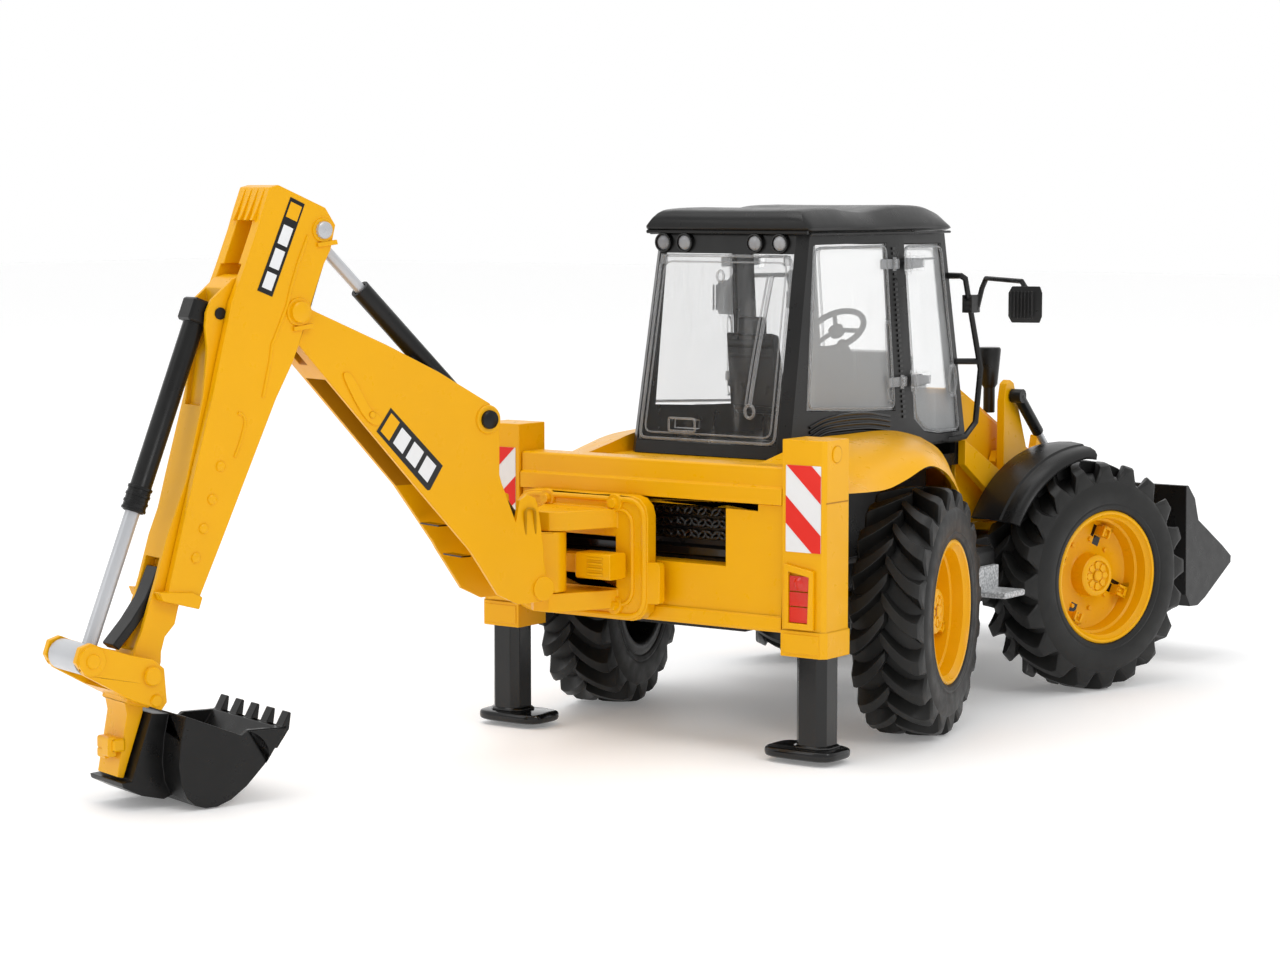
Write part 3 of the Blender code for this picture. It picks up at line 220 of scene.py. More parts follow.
def loft(rings, closed=False, caps=True):
    shape = bmesh.new()
    rows = [[shape.verts.new(point) for point in ring] for ring in rings]
    count = len(rows[0])
    pairs = list(zip(rows, rows[1:])) + ([(rows[-1], rows[0])] if closed else [])
    for near, far in pairs:
        for i in range(count):
            shape.faces.new((near[i], near[(i + 1) % count], far[(i + 1) % count], far[i]))
    if caps and not closed:
        shape.faces.new(rows[0][::-1])
        shape.faces.new(rows[-1])
    return shape


def block(x, y, z):
    outline = [(x[0], y[0]), (x[1], y[0]), (x[1], y[1]), (x[0], y[1])]
    return prism(outline, "z", z[0], z[1])


def around(direction):
    along = Vector(direction).normalized()
    guide = Vector((1, 0, 0)) if abs(along.x) < 0.9 else Vector((0, 1, 0))
    first = along.cross(guide).normalized()
    return along, first, along.cross(first)


def turned(profile, start, direction, steps=32):
    """A closed profile of (along, radius) turned about a line."""
    along, first, second = around(direction)
    rings = []
    for i in range(steps):
        turn = 2 * math.pi * i / steps
        out = first * math.cos(turn) + second * math.sin(turn)
        rings.append([Vector(start) + along * a + out * max(r, 0.001) for a, r in profile])
    return loft(rings, closed=True)


def rod(start, end, radius, steps=24, edge=0.25):
    start, end = Vector(start), Vector(end)
    length = (end - start).length
    profile = [(0, 0), (0, radius - edge), (edge, radius), (length - edge, radius), (length, radius - edge),
               (length, 0)]
    return turned(profile, start, end - start, steps)


def smooth_line(points, per_span=6, closed=False):
    """Points along a Catmull-Rom curve through the given points."""
    points = [Vector(point) for point in points]
    count = len(points)
    spans = count if closed else count - 1
    line = []
    for i in range(spans):
        a, b, c, d = (points[(i + k) % count] if closed else points[min(max(i + k, 0), count - 1)]
                      for k in (-1, 0, 1, 2))
        for k in range(per_span):
            t = k / per_span
            line.append(0.5 * (2 * b + (c - a) * t + (2 * a - 5 * b + 4 * c - d) * t * t
                               + (3 * b - a - 3 * c + d) * t ** 3))
    if not closed:
        line.append(points[-1])
    return line


def sweep(points, radius, sides=8, closed=False, flatten=1.0):
    """A tube along points; flatten squeezes its section's second axis."""
    points = [Vector(point) for point in points]
    rings = []
    count = len(points)
    first = None
    for i, point in enumerate(points):
        before = points[(i - 1) % count] if closed or i else point
        after = points[(i + 1) % count] if closed or i < count - 1 else point
        along = (after - before).normalized()
        if first is None:
            first = around(along)[1]
        first = (first - along * first.dot(along)).normalized()
        second = along.cross(first)
        rings.append([point + first * math.cos(2 * math.pi * k / sides) * radius
                      + second * math.sin(2 * math.pi * k / sides) * radius * flatten for k in range(sides)])
    return loft(rings, closed=closed)


def together(*shapes):
    whole = bmesh.new()
    for shape in shapes:
        mesh = bpy.data.meshes.new("part")
        shape.to_mesh(mesh)
        shape.free()
        whole.from_mesh(mesh)
        bpy.data.meshes.remove(mesh)
    return whole


def sided(shape, side):
    """The shape as drawn for +x, or its mirror image for side -1."""
    if side < 0:
        bmesh.ops.scale(shape, vec=(-1, 1, 1), verts=shape.verts)
        bmesh.ops.reverse_faces(shape, faces=shape.faces)
    return shape


def rounded(corners, radius, steps=4):
    """A convex outline with each corner turned into an arc."""
    result = []
    count = len(corners)
    for i in range(count):
        before, here, after = (Vector(corners[(i + k) % count]) for k in (-1, 0, 1))
        first, second = (before - here).normalized(), (after - here).normalized()
        for k in range(steps + 1):
            t = k / steps
            result.append(tuple(here + first * radius * (1 - t) ** 2 + second * radius * t ** 2))
    return result


def soften(obj, width, limit=32.0):
    """Small rounded edges that catch the light."""
    bevel = obj.modifiers.new("Edges", "BEVEL")
    bevel.width = width * MM
    bevel.segments = 2
    bevel.limit_method = "ANGLE"
    bevel.angle_limit = math.radians(limit)
    bevel.harden_normals = True
    bevel.use_clamp_overlap = False


def piece(name, shape, material, body, place=MACHINE, edge=0.2, stands_for=()):
    """A finished piece that rides on a body of the frame."""
    bmesh.ops.remove_doubles(shape, verts=shape.verts, dist=0.002)
    bmesh.ops.recalc_face_normals(shape, faces=shape.faces)
    shape.transform(place)
    mesh = bpy.data.meshes.new(name)
    shape.to_mesh(mesh)
    shape.free()
    mesh.materials.append(material)
    mesh.shade_smooth()
    obj = bpy.data.objects.new(name, mesh)
    bpy.context.scene.collection.objects.link(obj)
    if edge:
        soften(obj, edge)
    else:
        mesh.set_sharp_from_angle(angle=math.radians(40))
    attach(obj, body)
    if stands_for:
        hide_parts(*stands_for)
    return obj


def dress(node, material, edge=0.3, limit=32.0, merge=True):
    """A carried-over node: its triangles are merged into flat faces and its edges softened."""
    obj = frame["nodes"][node]
    mesh = obj.data
    mesh.materials.clear()
    mesh.materials.append(material)
    if "custom_normal" in mesh.attributes:
        mesh.attributes.remove(mesh.attributes["custom_normal"])
    mesh.shade_smooth()
    weld = obj.modifiers.new("Weld", "WELD")
    weld.merge_threshold = 0.000005
    if merge:
        flat = obj.modifiers.new("Flat", "DECIMATE")
        flat.decimate_type = "DISSOLVE"
        flat.angle_limit = math.radians(0.4)
    if edge:
        soften(obj, edge, limit)
    else:
        split = obj.modifiers.new("Split", "EDGE_SPLIT")
        split.split_angle = math.radians(limit)
    return obj


def shade_inside(node, place, half, material):
    """Faces of a node that lie inside its side walls take a second, darker material: painted shade in the
    channel between the walls.
    """
    obj = frame["nodes"][node]
    mesh = obj.data
    mesh.materials.append(material)
    to_place = place.inverted() @ obj.matrix_world
    for polygon in mesh.polygons:
        if abs((to_place @ polygon.center).x) < half:
            corners = [to_place @ mesh.vertices[i].co for i in polygon.vertices]
            if max(abs(corner.x) for corner in corners) < half + 0.4:
                polygon.material_index = 1


# ---------------------------------------------------------------- wheels
def tyre_point(x, radius, turn):
    """A point of the tyre: turn is 0 at the rear and grows over the top."""
    return Vector((x, math.cos(turn) * radius, math.sin(turn) * radius))


def tyre_lug(side, turn):
    """One curved bar of the tread, from the middle to the flush end on the sidewall."""
    lag = math.radians(15.5)
    stations = ((-0.8, 45.6, 40.6, 1.6, 2.3), (0.6, 45.9, 40.6, 2.2, 2.9), (3.5, 45.9, 40.6, 2.3, 3.1),
                (6.3, 45.9, 40.5, 2.4, 3.3), (8.9, 45.8, 40.0, 2.5, 3.9), (11.2, 45.6, 39.2, 2.6, 4.9),
                (12.7, 44.7, 38.2, 2.5, 5.9), (13.5, 42.4, 37.0, 2.1, 6.3))
    rings = []
    for x, top, base, half_top, half_base in stations:
        u = (x + 0.8) / 15.3
        middle = turn - lag * (1 - (1 - u) ** 1.9)
        waist = base + (top - base) * 0.5
        half_waist = half_top + (half_base - half_top) * (0.25 + 0.25 * u)
        ring = [(base, -half_base), (waist, -half_waist), (top, -half_top), (top, half_top),
                (waist, half_waist),
                (base, half_base)]
        rings.append([tyre_point(side * x, radius, middle + across / radius) for radius, across in ring])
    return loft(rings)


def tyre_shape():
    half = [(13.0, 26.7), (14.0, 27.4), (14.35, 29.0), (14.1, 29.6), (14.4, 30.4), (14.45, 33.0),
            (14.35, 36.8),
            (13.4, 38.6), (11.2, 39.8), (7.0, 40.6), (0.0, 40.9)]
    inner = [(0.0, 25.0), (12.6, 25.0)]
    profile = inner + half[:-1] + [half[-1]] + [(-x, r) for x, r in reversed(half[:-1])] + [(-12.6, 25.0)]
    shapes = [turned(profile, (0, 0, 0), (1, 0, 0), 96)]
    pitch = 2 * math.pi / LUGS
    for side in (-1, 1):
        for i in range(LUGS):
            turn = pitch * (i + (0.25 if side > 0 else 0.75))
            shapes.append(tyre_lug(side, turn))
            for k, x in enumerate((4.2, 7.4, 10.4)):
                middle = turn - math.radians((1.5, 5.5, 8.4)[k]) + pitch * 0.46
                radius = 40.3 - 0.12 * k * k
                ring = [[tyre_point(side * (x + dx), radius + lift, middle + (across + dx * -0.35) / radius)
                         for across, lift in ((-0.75, 0), (-0.5, 0.9), (0.5, 0.9), (0.75, 0))]
                        for dx in (-1.3, 1.3)]
                shapes.append(loft(ring))
    return together(*shapes)


def rim_shape():
    """Deep dish with a stepped barrel, drawn with its open side towards +x."""
    profile = [(7.4, 0), (7.4, 5.8), (8.3, 6.2), (8.3, 7.4), (7.6, 8.3), (1.6, 8.7), (0.7, 9.8), (0.4, 20.6),
               (1.3, 21.9), (6.6, 22.3), (7.2, 23.2), (11.4, 23.6), (12.6, 24.9), (13.5, 25.3), (13.7, 26.0),
               (13.4, 26.6), (12.8, 26.9), (12.4, 25.4), (-12.4, 25.4), (-12.8, 26.9), (-13.6, 26.4),
               (-13.2, 22.6), (-2.4, 22.0), (-2.4, 6.0), (-5.4, 5.0), (-5.4, 2.3), (3.0, 2.3), (3.0, 0)]
    return turned(profile, (0, 0, 0), (1, 0, 0), 96)


def at_turn(shape, turn):
    bmesh.ops.rotate(shape, cent=(0, 0, 0), matrix=Matrix.Rotation(turn, 3, "X"), verts=shape.verts)
    return shape


# A black dish over the back of the rim: painted shade on the rim's inner side.
RIM_BACK_SHADE = ((-3.2, 5.2), (-3.2, 21.5), (-13.4, 22.2), (-13.9, 23.2), (-13.9, 26.4), (-13.5, 27.3),
               (-13.1, 26.9),
               (-13.4, 22.9), (-2.6, 22.2), (-2.6, 5.2))


def rim_trim():
    """Hub flower, wheel nuts and the four clip blocks, drawn for +x outwards."""
    shapes = [turned([(8.2, 0), (8.2, 2.2), (8.7, 1.7), (8.7, 0)], (0, 0, 0), (1, 0, 0), 24)]
    for i in range(8):
        turn = 2 * math.pi * i / 8
        shapes.append(at_turn(prism([(-0.9, 2.8), (0.9, 2.8), (1.3, 5.0), (0, 5.9), (-1.3, 5.0)], "x", 7.2,
                                    8.0), turn))
    for i in range(9):
        turn = math.radians(-20 + 40 * i)
        nut = turned([(0.3, 0), (0.3, 1.05), (1.5, 0.9), (1.5, 0)], (0, 14.2, 0), (1, 0, 0), 6)
        shapes.append(at_turn(nut, turn))
    for i in range(4):
        turn = math.radians(25 + 90 * i)
        parts = [block((0.3, 4.2), (16.6, 20.4), (-1.9, 1.9)), block((4.0, 5.4), (16.2, 20.8), (-2.2, -1.2)),
                 block((4.0, 5.4), (16.2, 20.8), (1.2, 2.2)), block((4.0, 5.4), (19.6, 20.8), (-2.2, 2.2)),
                 rod((4.0, 17.6, 0), (5.0, 17.6, 0), 0.7, 10)]
        shapes.append(at_turn(together(*parts), turn))
    return together(*shapes)


def rim_slot_shade():
    """Black plates beside the clip blocks: painted shade where the openings would be dark."""
    shapes = []
    for i in range(4):
        turn = math.radians(25 + 90 * i)
        parts = [block((0.2, 0.62), (12.4, 16.4), (-1.8, 1.8)),
                 block((0.2, 0.62), (15.4, 20.2), (-3.8, -2.2))]
        shapes.append(at_turn(together(*parts), turn))
    return together(*shapes)


def wheels():
    for end, side in CORNERS:
        label = f"{end}_{side}"
        place = wheel_place(label)
        body = "wheel_" + label
        flip = SIGN[side]
        piece("tyre_treaded_" + label, tyre_shape(), TYRE, body, place, 0.28, ["tyre_" + label])
        piece("rim_dished_" + label, sided(rim_shape(), flip), YELLOW, body, place, 0, ["rim_" + label])
        piece("rim_trim_" + label, sided(rim_trim(), flip), YELLOW, body, place, 0.12)
        # Painted shade: black plates where the rim's openings would be dark.
        piece("rim_slot_shade_" + label, sided(rim_slot_shade(), flip), GLOSS_BLACK, body, place, 0)
        # Painted shade: the black dish darkens the back of the rim.
        piece("rim_back_shade_" + label, sided(turned(RIM_BACK_SHADE, (0, 0, 0), (1, 0, 0), 64), flip), SATIN, body,
              place, 0)
    for side in ("left", "right"):
        steer = placed(joint_at("steer_front_" + side), joint_axis("spin_front_" + side))
        shape = sided(mudguard_shape(), SIGN[side])
        piece("mudguard_" + side, shape, SATIN, "knuckle_front_" + side, steer, 0.15,
              ["knuckle_front_" + side])
        dress("knuckle_rear_" + side, BLACK)


def mudguard_shape():
    """Hub block, stalk and a crowned guard with a crease along its outer side."""
    sections = []
    steps = 28
    for i in range(steps + 1):
        t = i / steps
        turn = math.radians(1 + 61 * t)
        near = -6.4 + 2.2 * t
        lip = 1.2 * max(0.0, 1 - 8 * t)
        line = [(near, 0.6), (-1.0, 1.4), (6.0, 1.8), (12.6, 1.3), (13.4, 0.6), (17.0, 0.2), (19.6, -0.9),
                (20.8, -2.6), (20.4, -3.6 - lip), (19.6, -2.6), (17.4, -1.3), (12.5, -0.6), (6.0, 0.3),
                (near, -0.9)]
        sections.append([(x, math.sin(turn) * (51.5 + lift), math.cos(turn) * (51.5 + lift)) for x,
                         lift in line])
    hub = [block((-3.6, 6.6), (-5, 5), (-9, 9)), rod((5, 0, 0), (15.4, 0, 0), 1.95, 16),
           block((-6.2, -3.0), (2, 9.5), (-4, 51.1))]
    return together(loft(sections), *hub)


# ---------------------------------------------------------------- body
FENDER_STATIONS = (
    (127.0, (38.3, 103.4), (57.0, 100.2), (69.5, 97.2), (75.5, 94.6)),
    (112.0, (38.3, 106.2), (57.5, 100.9), (70.0, 97.0), (75.5, 94.0)),
    (100.0, (38.3, 108.6), (57.5, 103.4), (70.0, 98.9), (75.5, 94.2)),
    (87.0, (38.3, 110.0), (58.0, 105.6), (70.5, 101.6), (75.5, 96.6)),
    (72.0, (38.3, 110.0), (58.5, 107.4), (70.8, 104.4), (75.5, 100.2)),
    (60.0, (38.3, 110.0), (58.5, 107.4), (70.0, 103.6), (75.0, 97.6)),
    (50.0, (38.3, 110.0), (57.5, 106.8), (68.0, 101.4), (73.4, 92.4)),
    (41.0, (38.3, 109.6), (56.0, 105.2), (66.0, 97.0), (71.0, 86.4)),
    (33.0, (38.3, 108.9), (54.0, 103.0), (63.6, 92.0), (68.5, 81.8)),
    (24.0, (38.3, 107.4), (50.0, 102.0), (57.0, 94.0), (60.0, 86.0)),
    (15.0, (38.3, 105.4), (46.0, 101.5), (50.5, 96.0), (52.5, 91.0)),
)
DECK_Z = 102.3
SKIN = 1.6


def body_shape():
    """Deck and both fenders as one smooth sheet, finer both ways than its stations."""
    lines = [smooth_line([(station[k][0], station[0], station[k][1]) for station in FENDER_STATIONS], 5)
             for k in range(1, 5)]
    rings = []
    for corners in zip(*lines):
        y = corners[0].y
        across = smooth_line([(p.x, p.z) for p in corners], 5)
        top = [(p.x, p.y) for p in across]
        under = [(p[0] - SKIN * min(1.0, k / 6), p[1] - SKIN * min(1.0, (len(top) - k - 1) / 4))
                 for k, p in enumerate(top)]
        right = [(-x, z) for x, z in reversed(top)]
        right_under = [(-x, z) for x, z in reversed(under)]
        deck_edge = [(38.2, DECK_Z)]
        ring = right + [(-38.2, DECK_Z)] + deck_edge + top + under[::-1]
        ring += [(38.0, DECK_Z - 2.4), (-38.0, DECK_Z - 2.4)] + right_under[::-1]
        rings.append([(x, y, z) for x, z in ring])
    return loft(rings)


def body():
    piece("body_fenders", body_shape(), YELLOW, "base", edge=0, stands_for=["body_shell"])
    dress("bonnet", YELLOW, 0.5)
    dress("intake_stack", SATIN, 0.3)
    for node in ("rear_frame", "post_left", "post_right", "loader_frame"):
        dress(node, YELLOW, 0.3)
    dress("chassis", BLACK, 0.4)
    for side in ("left", "right"):
        dress("step_" + side, KNURLED, 0.25)
        flip = SIGN[side]
        posts(side, flip)
        legs(side, flip)
    grille()
    nose()


HAZARD_X = (60.0, 74.4)
HAZARD_Z = (74.8, 105.2)
POST_REAR_Y = 143.0


def hazard_stripes(flip):
    """Slanting bars clipped to the plate's upright rectangle."""
    shapes = []
    low_x, high_x = HAZARD_X
    low_z, high_z = HAZARD_Z
    rise = 13.5
    for k in range(-1, 3):
        base = low_z - 3.4 + k * 20.6
        bar = [(low_x, base), (low_x, base + 9.6), (high_x, base + 9.6 + rise), (high_x, base + rise)]
        clipped = clip_outline(bar, low_z, high_z)
        if len(clipped) > 2:
            mirrored = [(high_x + low_x - x, z) for x, z in clipped]
            shapes.append(prism(mirrored, "y", POST_REAR_Y + 0.22, POST_REAR_Y + 0.34))
    return sided(together(*shapes), flip)


def clip_outline(outline, low, high):
    """The part of a convex outline between two heights."""
    for level, keep in ((low, 1), (high, -1)):
        result = []
        for i, here in enumerate(outline):
            before = outline[i - 1]
            inside, was = (here[1] - level) * keep >= 0, (before[1] - level) * keep >= 0
            if inside != was:
                t = (level - before[1]) / (here[1] - before[1])
                result.append((before[0] + (here[0] - before[0]) * t, level))
            if inside:
                result.append(here)
        outline = result
    return outline


def posts(side, flip):
    plate = rounded([(HAZARD_X[0], HAZARD_Z[0]), (HAZARD_X[1], HAZARD_Z[0]), (HAZARD_X[1], HAZARD_Z[1]),
                     (HAZARD_X[0], HAZARD_Z[1])], 0.4)
    plate_shape = sided(prism(plate, "y", POST_REAR_Y + 0.05, POST_REAR_Y + 0.2), flip)
    piece("hazard_plate_" + side, plate_shape, WHITE, "base", edge=0)
    piece("hazard_stripes_" + side, hazard_stripes(flip), RED, "base", edge=0)
    bosses = [rod((75.8, 135.6, z), (76.5, 135.6, z), 3.0, 24, 0.3) for z in (109.0, 43.6)]
    seam = block((75.9, 76.1), (128.0, 142.0), (92.0, 92.5))
    panel = prism([(59.4, 39.2), (74.4, 39.2), (74.4, 46.0), (59.4, 46.0)], "y", 143.7, 144.1)
    piece("post_bosses_" + side, sided(together(*bosses, panel), flip), YELLOW, "base")
    piece("post_seam_" + side, sided(seam, flip), SHADE_AND_SEAM_YELLOW, "base", edge=0)
    outer = [(60.1, 47.8), (72.1, 47.8), (72.1, 68.6), (60.1, 70.6)]
    inner = [(62.1, 50.0), (70.0, 50.0), (70.6, 66.4), (62.1, 68.0)]
    bezel = [[(x, y, z) for x, z in outline] for outline, y in
             ((outer, POST_REAR_Y + 0.05), (outer, POST_REAR_Y + 1.6), (inner, POST_REAR_Y + 1.9),
              (inner, POST_REAR_Y + 0.2))]
    piece("tail_light_bezel_" + side, sided(loft(bezel, closed=True), flip), YELLOW, "base", edge=0.25)
    lens = []
    for low, high in ((50.2, 55.6), (56.0, 60.9), (61.3, 66.6)):
        lens.append(prism([(62.3, low), (70.1, low), (70.3, high), (62.3, high)], "y", POST_REAR_Y + 0.2,
                          POST_REAR_Y + 1.3))
    lens.append(turned([(0, 0), (0, 2.2), (0.9, 1.2), (1.1, 0)], (66.2, POST_REAR_Y + 1.2, 64.0), (0, 1, 0),
                       20))
    piece("tail_light_lens_" + side, sided(together(*lens), flip), LENS_RED, "base", edge=0.15,
          stands_for=["tail_light_" + side])


def legs(side, flip):
    """A square shank with cut corners on a soft-edged pad."""
    shank = [(61.9, 131.6), (63.3, 130.2), (73.0, 130.2), (74.4, 131.6), (74.4, 138.6), (71.8, 141.2),
             (64.4, 141.2), (61.9, 138.6)]
    column = prism(shank, "z", 4.0, 78.0)
    rings = []
    for z, grow in ((1.7, -0.9), (2.1, -0.25), (2.9, 0.0), (4.2, 0.0), (5.0, -0.35), (5.3, -1.2)):
        ring = []
        for i in range(48):
            turn = 2 * math.pi * i / 48
            c, s = math.cos(turn), math.sin(turn)
            ring.append((64.55 + math.copysign(abs(c) ** 0.5, c) * (14.6 + grow),
                         135.7 + math.copysign(abs(s) ** 0.5, s) * (9.6 + grow), z))
        rings.append(ring)
    collar = loft([[(x * 1.0 + (x - 68.15) * g, y + (y - 135.7) * g, z) for x, y in shank]
                   for g, z in ((0.16, 5.2), (0.16, 5.9), (0.0, 6.6))])
    shape = together(column, loft(rings), collar)
    piece("stabiliser_leg_" + side, sided(shape, flip), GLOSS_BLACK, "leg_" + side, edge=0.3,
          stands_for=["leg_" + side])


def grille():
    """Rows of chain-like links over plain bars, behind the opening in the frame."""
    links, bars = [], []
    for row in range(3):
        z = 85.4 - row * 4.3
        bars.append(block((-35.5, 53.5), (131.1, 131.7), (z - 1.9, z - 1.5)))
        for i in range(30):
            x = -35.0 + 3.0 * i
            turn = math.radians(28 if i % 2 else -28)
            ring = [(x + math.cos(a) * 1.75 * math.cos(turn) - math.sin(a) * 0.95 * math.sin(turn), 132.2,
                     z + math.cos(a) * 1.75 * math.sin(turn) + math.sin(a) * 0.95 * math.cos(turn))
                    for a in [2 * math.pi * k / 12 for k in range(12)]]
            links.append(sweep(ring, 0.72, 8, closed=True))
    bars.append(prism([(131.1, 68.4), (132.8, 69.4), (132.8, 72.0), (131.1, 73.2)], "x", -35.5, 53.5))
    piece("grille_links", together(*links), GLOSS_BLACK, "base", edge=0)
    piece("grille_bars", together(*bars), GLOSS_BLACK, "base", edge=0.15)


def nose():
    """Louvres, lamps and a front grille on the bonnet."""
    slats = [block((-22, 22), (-124.6, -123.4), (69.0 + 2.2 * k, 70.1 + 2.2 * k)) for k in range(4)]
    side_slats = [block(sorted((s * 29.8, s * 30.4)), (-92 + 6.0 * k, -88 + 6.0 * k), (72, 83))
                  for s in (-1, 1) for k in range(5)]
    piece("bonnet_slats", together(*slats, *side_slats), BLACK, "bonnet", edge=0.15)
    lamps = [rod((s * 21, -121.2, 80.2), (s * 21, -119.6, 80.9), 2.6, 24) for s in (-1, 1)]
    piece("bonnet_lamps", together(*lamps), LAMP, "bonnet", edge=0)


# ---------------------------------------------------------------- cab
CAB_LOW_Z = 102.6
CAB_HIGH_Z = 184.4
DOOR_HINGES = ((20.4, 127.5), (25.0, 172.5))
REAR_WINDOW = [(-31, 107.2), (31, 107.2), (30, 177), (-30, 177)]
SIDE_WINDOW = [(91.5, 119.5), (85.5, 180.3), (36.5, 180.6), (31.5, 116.5)]
DOOR = [(24.5, 180.2), (17.5, 112.5), (9, 107), (-3, 105.4), (-19.4, 105.4), (-18.6, 112), (-17.4, 126),
        (-7.8, 180)]


def rear_y(z):
    return 106.5 - 15.5 * (z - CAB_LOW_Z) / (CAB_HIGH_Z - CAB_LOW_Z)


def side_x(y, z):
    """Half width of the cab's skin at a place on its side."""
    t = (z - CAB_LOW_Z) / (CAB_HIGH_Z - CAB_LOW_Z)
    waist = 37.4 - 1.6 * t
    if y > 26:
        rear = rear_y(z) - 3.5
        return waist + (35.2 - 1.6 * t - waist) * min(1.0, (y - 26) / (rear - 26))
    front = -24.5 + 13.0 * t
    return waist + (35.6 - 3.0 * t - waist) * min(1.0, (26 - y) / (26 - front))


def inset_outline(outline, amount):
    middle = sum((Vector(p) for p in outline), Vector((0, 0))) / len(outline)
    return [tuple(Vector(p) + (middle - Vector(p)).normalized() * amount) for p in outline]


def rear_rib(outline, lift, radius, steps=3):
    points = [(x, rear_y(z) + lift, z) for x, z in rounded(outline, 3.0, steps)]
    return sweep(points, radius, 8, closed=True)


def side_rib(outline, lift, radius, side, steps=3):
    points = [(side * (side_x(y, z) + lift), y, z) for y, z in rounded(outline, 3.0, steps)]
    return sweep(points, radius, 8, closed=True)


def cab():
    dress("cab_frame", SATIN, 0, merge=False)
    dress("dashboard", SATIN, 0.4)
    dress("seat", SATIN, 0.6)
    for node in ("windscreen", "rear_window", "side_window_left", "side_window_right", "door_left",
                 "door_right"):
        dress(node, CLEAR, 0.15)
    roof()
    glazing_ribs()
    work_lights()
    seat_trim()
    for side in ("left", "right"):
        dress("mirror_" + side, SATIN, 0.3)
        mirror_ribs(side, SIGN[side])
        cab_side(side, SIGN[side])
    steering_wheel()


ROOF_STATIONS = ((93.4, 186.4, 189.2, 35.9, 32.6), (92.0, 185.2, 191.4, 36.8, 31.5),
                 (88.0, 184.8, 193.3, 37.1, 30.5),
                 (70.0, 184.8, 194.0, 37.6, 30.5), (58.0, 184.8, 193.0, 37.8, 31.0),
                 (48.0, 184.8, 192.6, 38.0, 31.5),
                 (38.0, 184.8, 193.6, 38.0, 32.0), (28.0, 184.8, 194.6, 38.0, 32.0),
                 (14.0, 184.8, 194.8, 37.8, 31.6),
                 (2.0, 184.8, 193.9, 37.0, 31.0), (-8.0, 184.8, 191.4, 36.4, 30.2),
                 (-12.4, 185.4, 187.8, 35.2, 31.0))


def roof():
    """A shell with a rolled rim, a crisp shoulder line and a shallow dip."""
    tracks = smooth_line([(y, low, high) for y, low, high, _, _ in ROOF_STATIONS], 4)
    widths = smooth_line([(y, wide, narrow) for y, _, _, wide, narrow in ROOF_STATIONS], 4)
    rings = []
    for track, width in zip(tracks, widths):
        y, low, high = track
        wide, narrow = width.y, width.z
        rise = high - low
        half = [(wide - 1.6, low), (wide - 0.3, low + rise * 0.10), (wide, low + rise * 0.22),
                (wide - 0.4, low + rise * 0.36), (narrow + 1.6, high - rise * 0.10), (narrow, high - 0.15),
                (narrow * 0.82, high), (narrow * 0.55, high - 0.1), (narrow * 0.25, high - 0.15)]
        ring = [(-x, z) for x, z in half] + [(x, z) for x, z in reversed(half)]
        rings.append([(x, y, z) for x, z in ring])
    piece("cab_roof_shell", loft(rings), SATIN, "base", edge=0.2, stands_for=["cab_roof"])
    gutter = [sweep(smooth_line([(s * 36.6, -9, 184.3), (s * 37.4, 20, 184.3), (s * 37.0, 60, 184.3),
                                 (s * 35.8, 90.5, 184.3)], 6), 0.5, 8) for s in (-1, 1)]
    lip = sweep([(-36, 92.6, 184.9), (36, 92.6, 184.9)], 0.7, 8)
    piece("cab_roof_gutter", together(*gutter, lip), BLACK, "base", edge=0)


def glazing_ribs():
    """Raised borders, wiper, latch and handle of the clear parts."""
    rear = [rear_rib(inset_outline(REAR_WINDOW, 1.2), 0.1, 0.55),
            rear_rib(inset_outline(REAR_WINDOW, 4.2), 0.1, 0.35)]
    wiper = [(-21.8, rear_y(169) + 0.5, 169), (-19.2, rear_y(140) + 0.6, 140),
             (-18.2, rear_y(122) + 0.7, 122)]
    rear.append(sweep(smooth_line(wiper, 5), 0.75, 8))
    rear.append(sweep([(x + 1.9, y + 0.1, z) for x, y, z in smooth_line(wiper, 5)], 0.4, 8))
    ring = [(-18.4 + math.cos(a) * 2.0, rear_y(119) + 0.8, 119.6 + math.sin(a) * 2.4)
            for a in [2 * math.pi * k / 20 for k in range(20)]]
    rear.append(sweep(ring, 0.6, 8, closed=True))
    latch = [(1.0 + math.cos(a) * 1.5, rear_y(168) + 0.7, 168.5 + math.sin(a) * 2.1)
             for a in [2 * math.pi * k / 16 for k in range(16)]]
    rear.append(sweep(latch, 0.5, 8, closed=True))
    rear += [block((x - 1.2, x + 1.2), (rear_y(174.5) - 0.2, rear_y(174.5) + 1.0),
                   (172.8, 176.4)) for x in (-27.5, 27.5)]
    handle = rounded([(4.6, 111.2), (16.4, 111.2), (16.4, 116.0), (4.6, 116.0)], 0.8)
    rear.append(sweep([(x, rear_y(113) + 1.6, z) for x, z in handle], 0.45, 8, closed=True))
    piece("rear_window_ribs", together(*rear), CLEAR_EDGE, "rear_window", edge=0)
    screen = [(x, -24.5 + 13.0 * (z - CAB_LOW_Z) / (CAB_HIGH_Z - CAB_LOW_Z) - 0.2, z)
              for x, z in rounded([(-28.5, 113.5), (28.5, 113.5), (26.8, 177.4), (-26.8, 177.4)], 3.0, 3)]
    piece("windscreen_rib", sweep(screen, 0.5, 8, closed=True), CLEAR_EDGE, "base", edge=0)


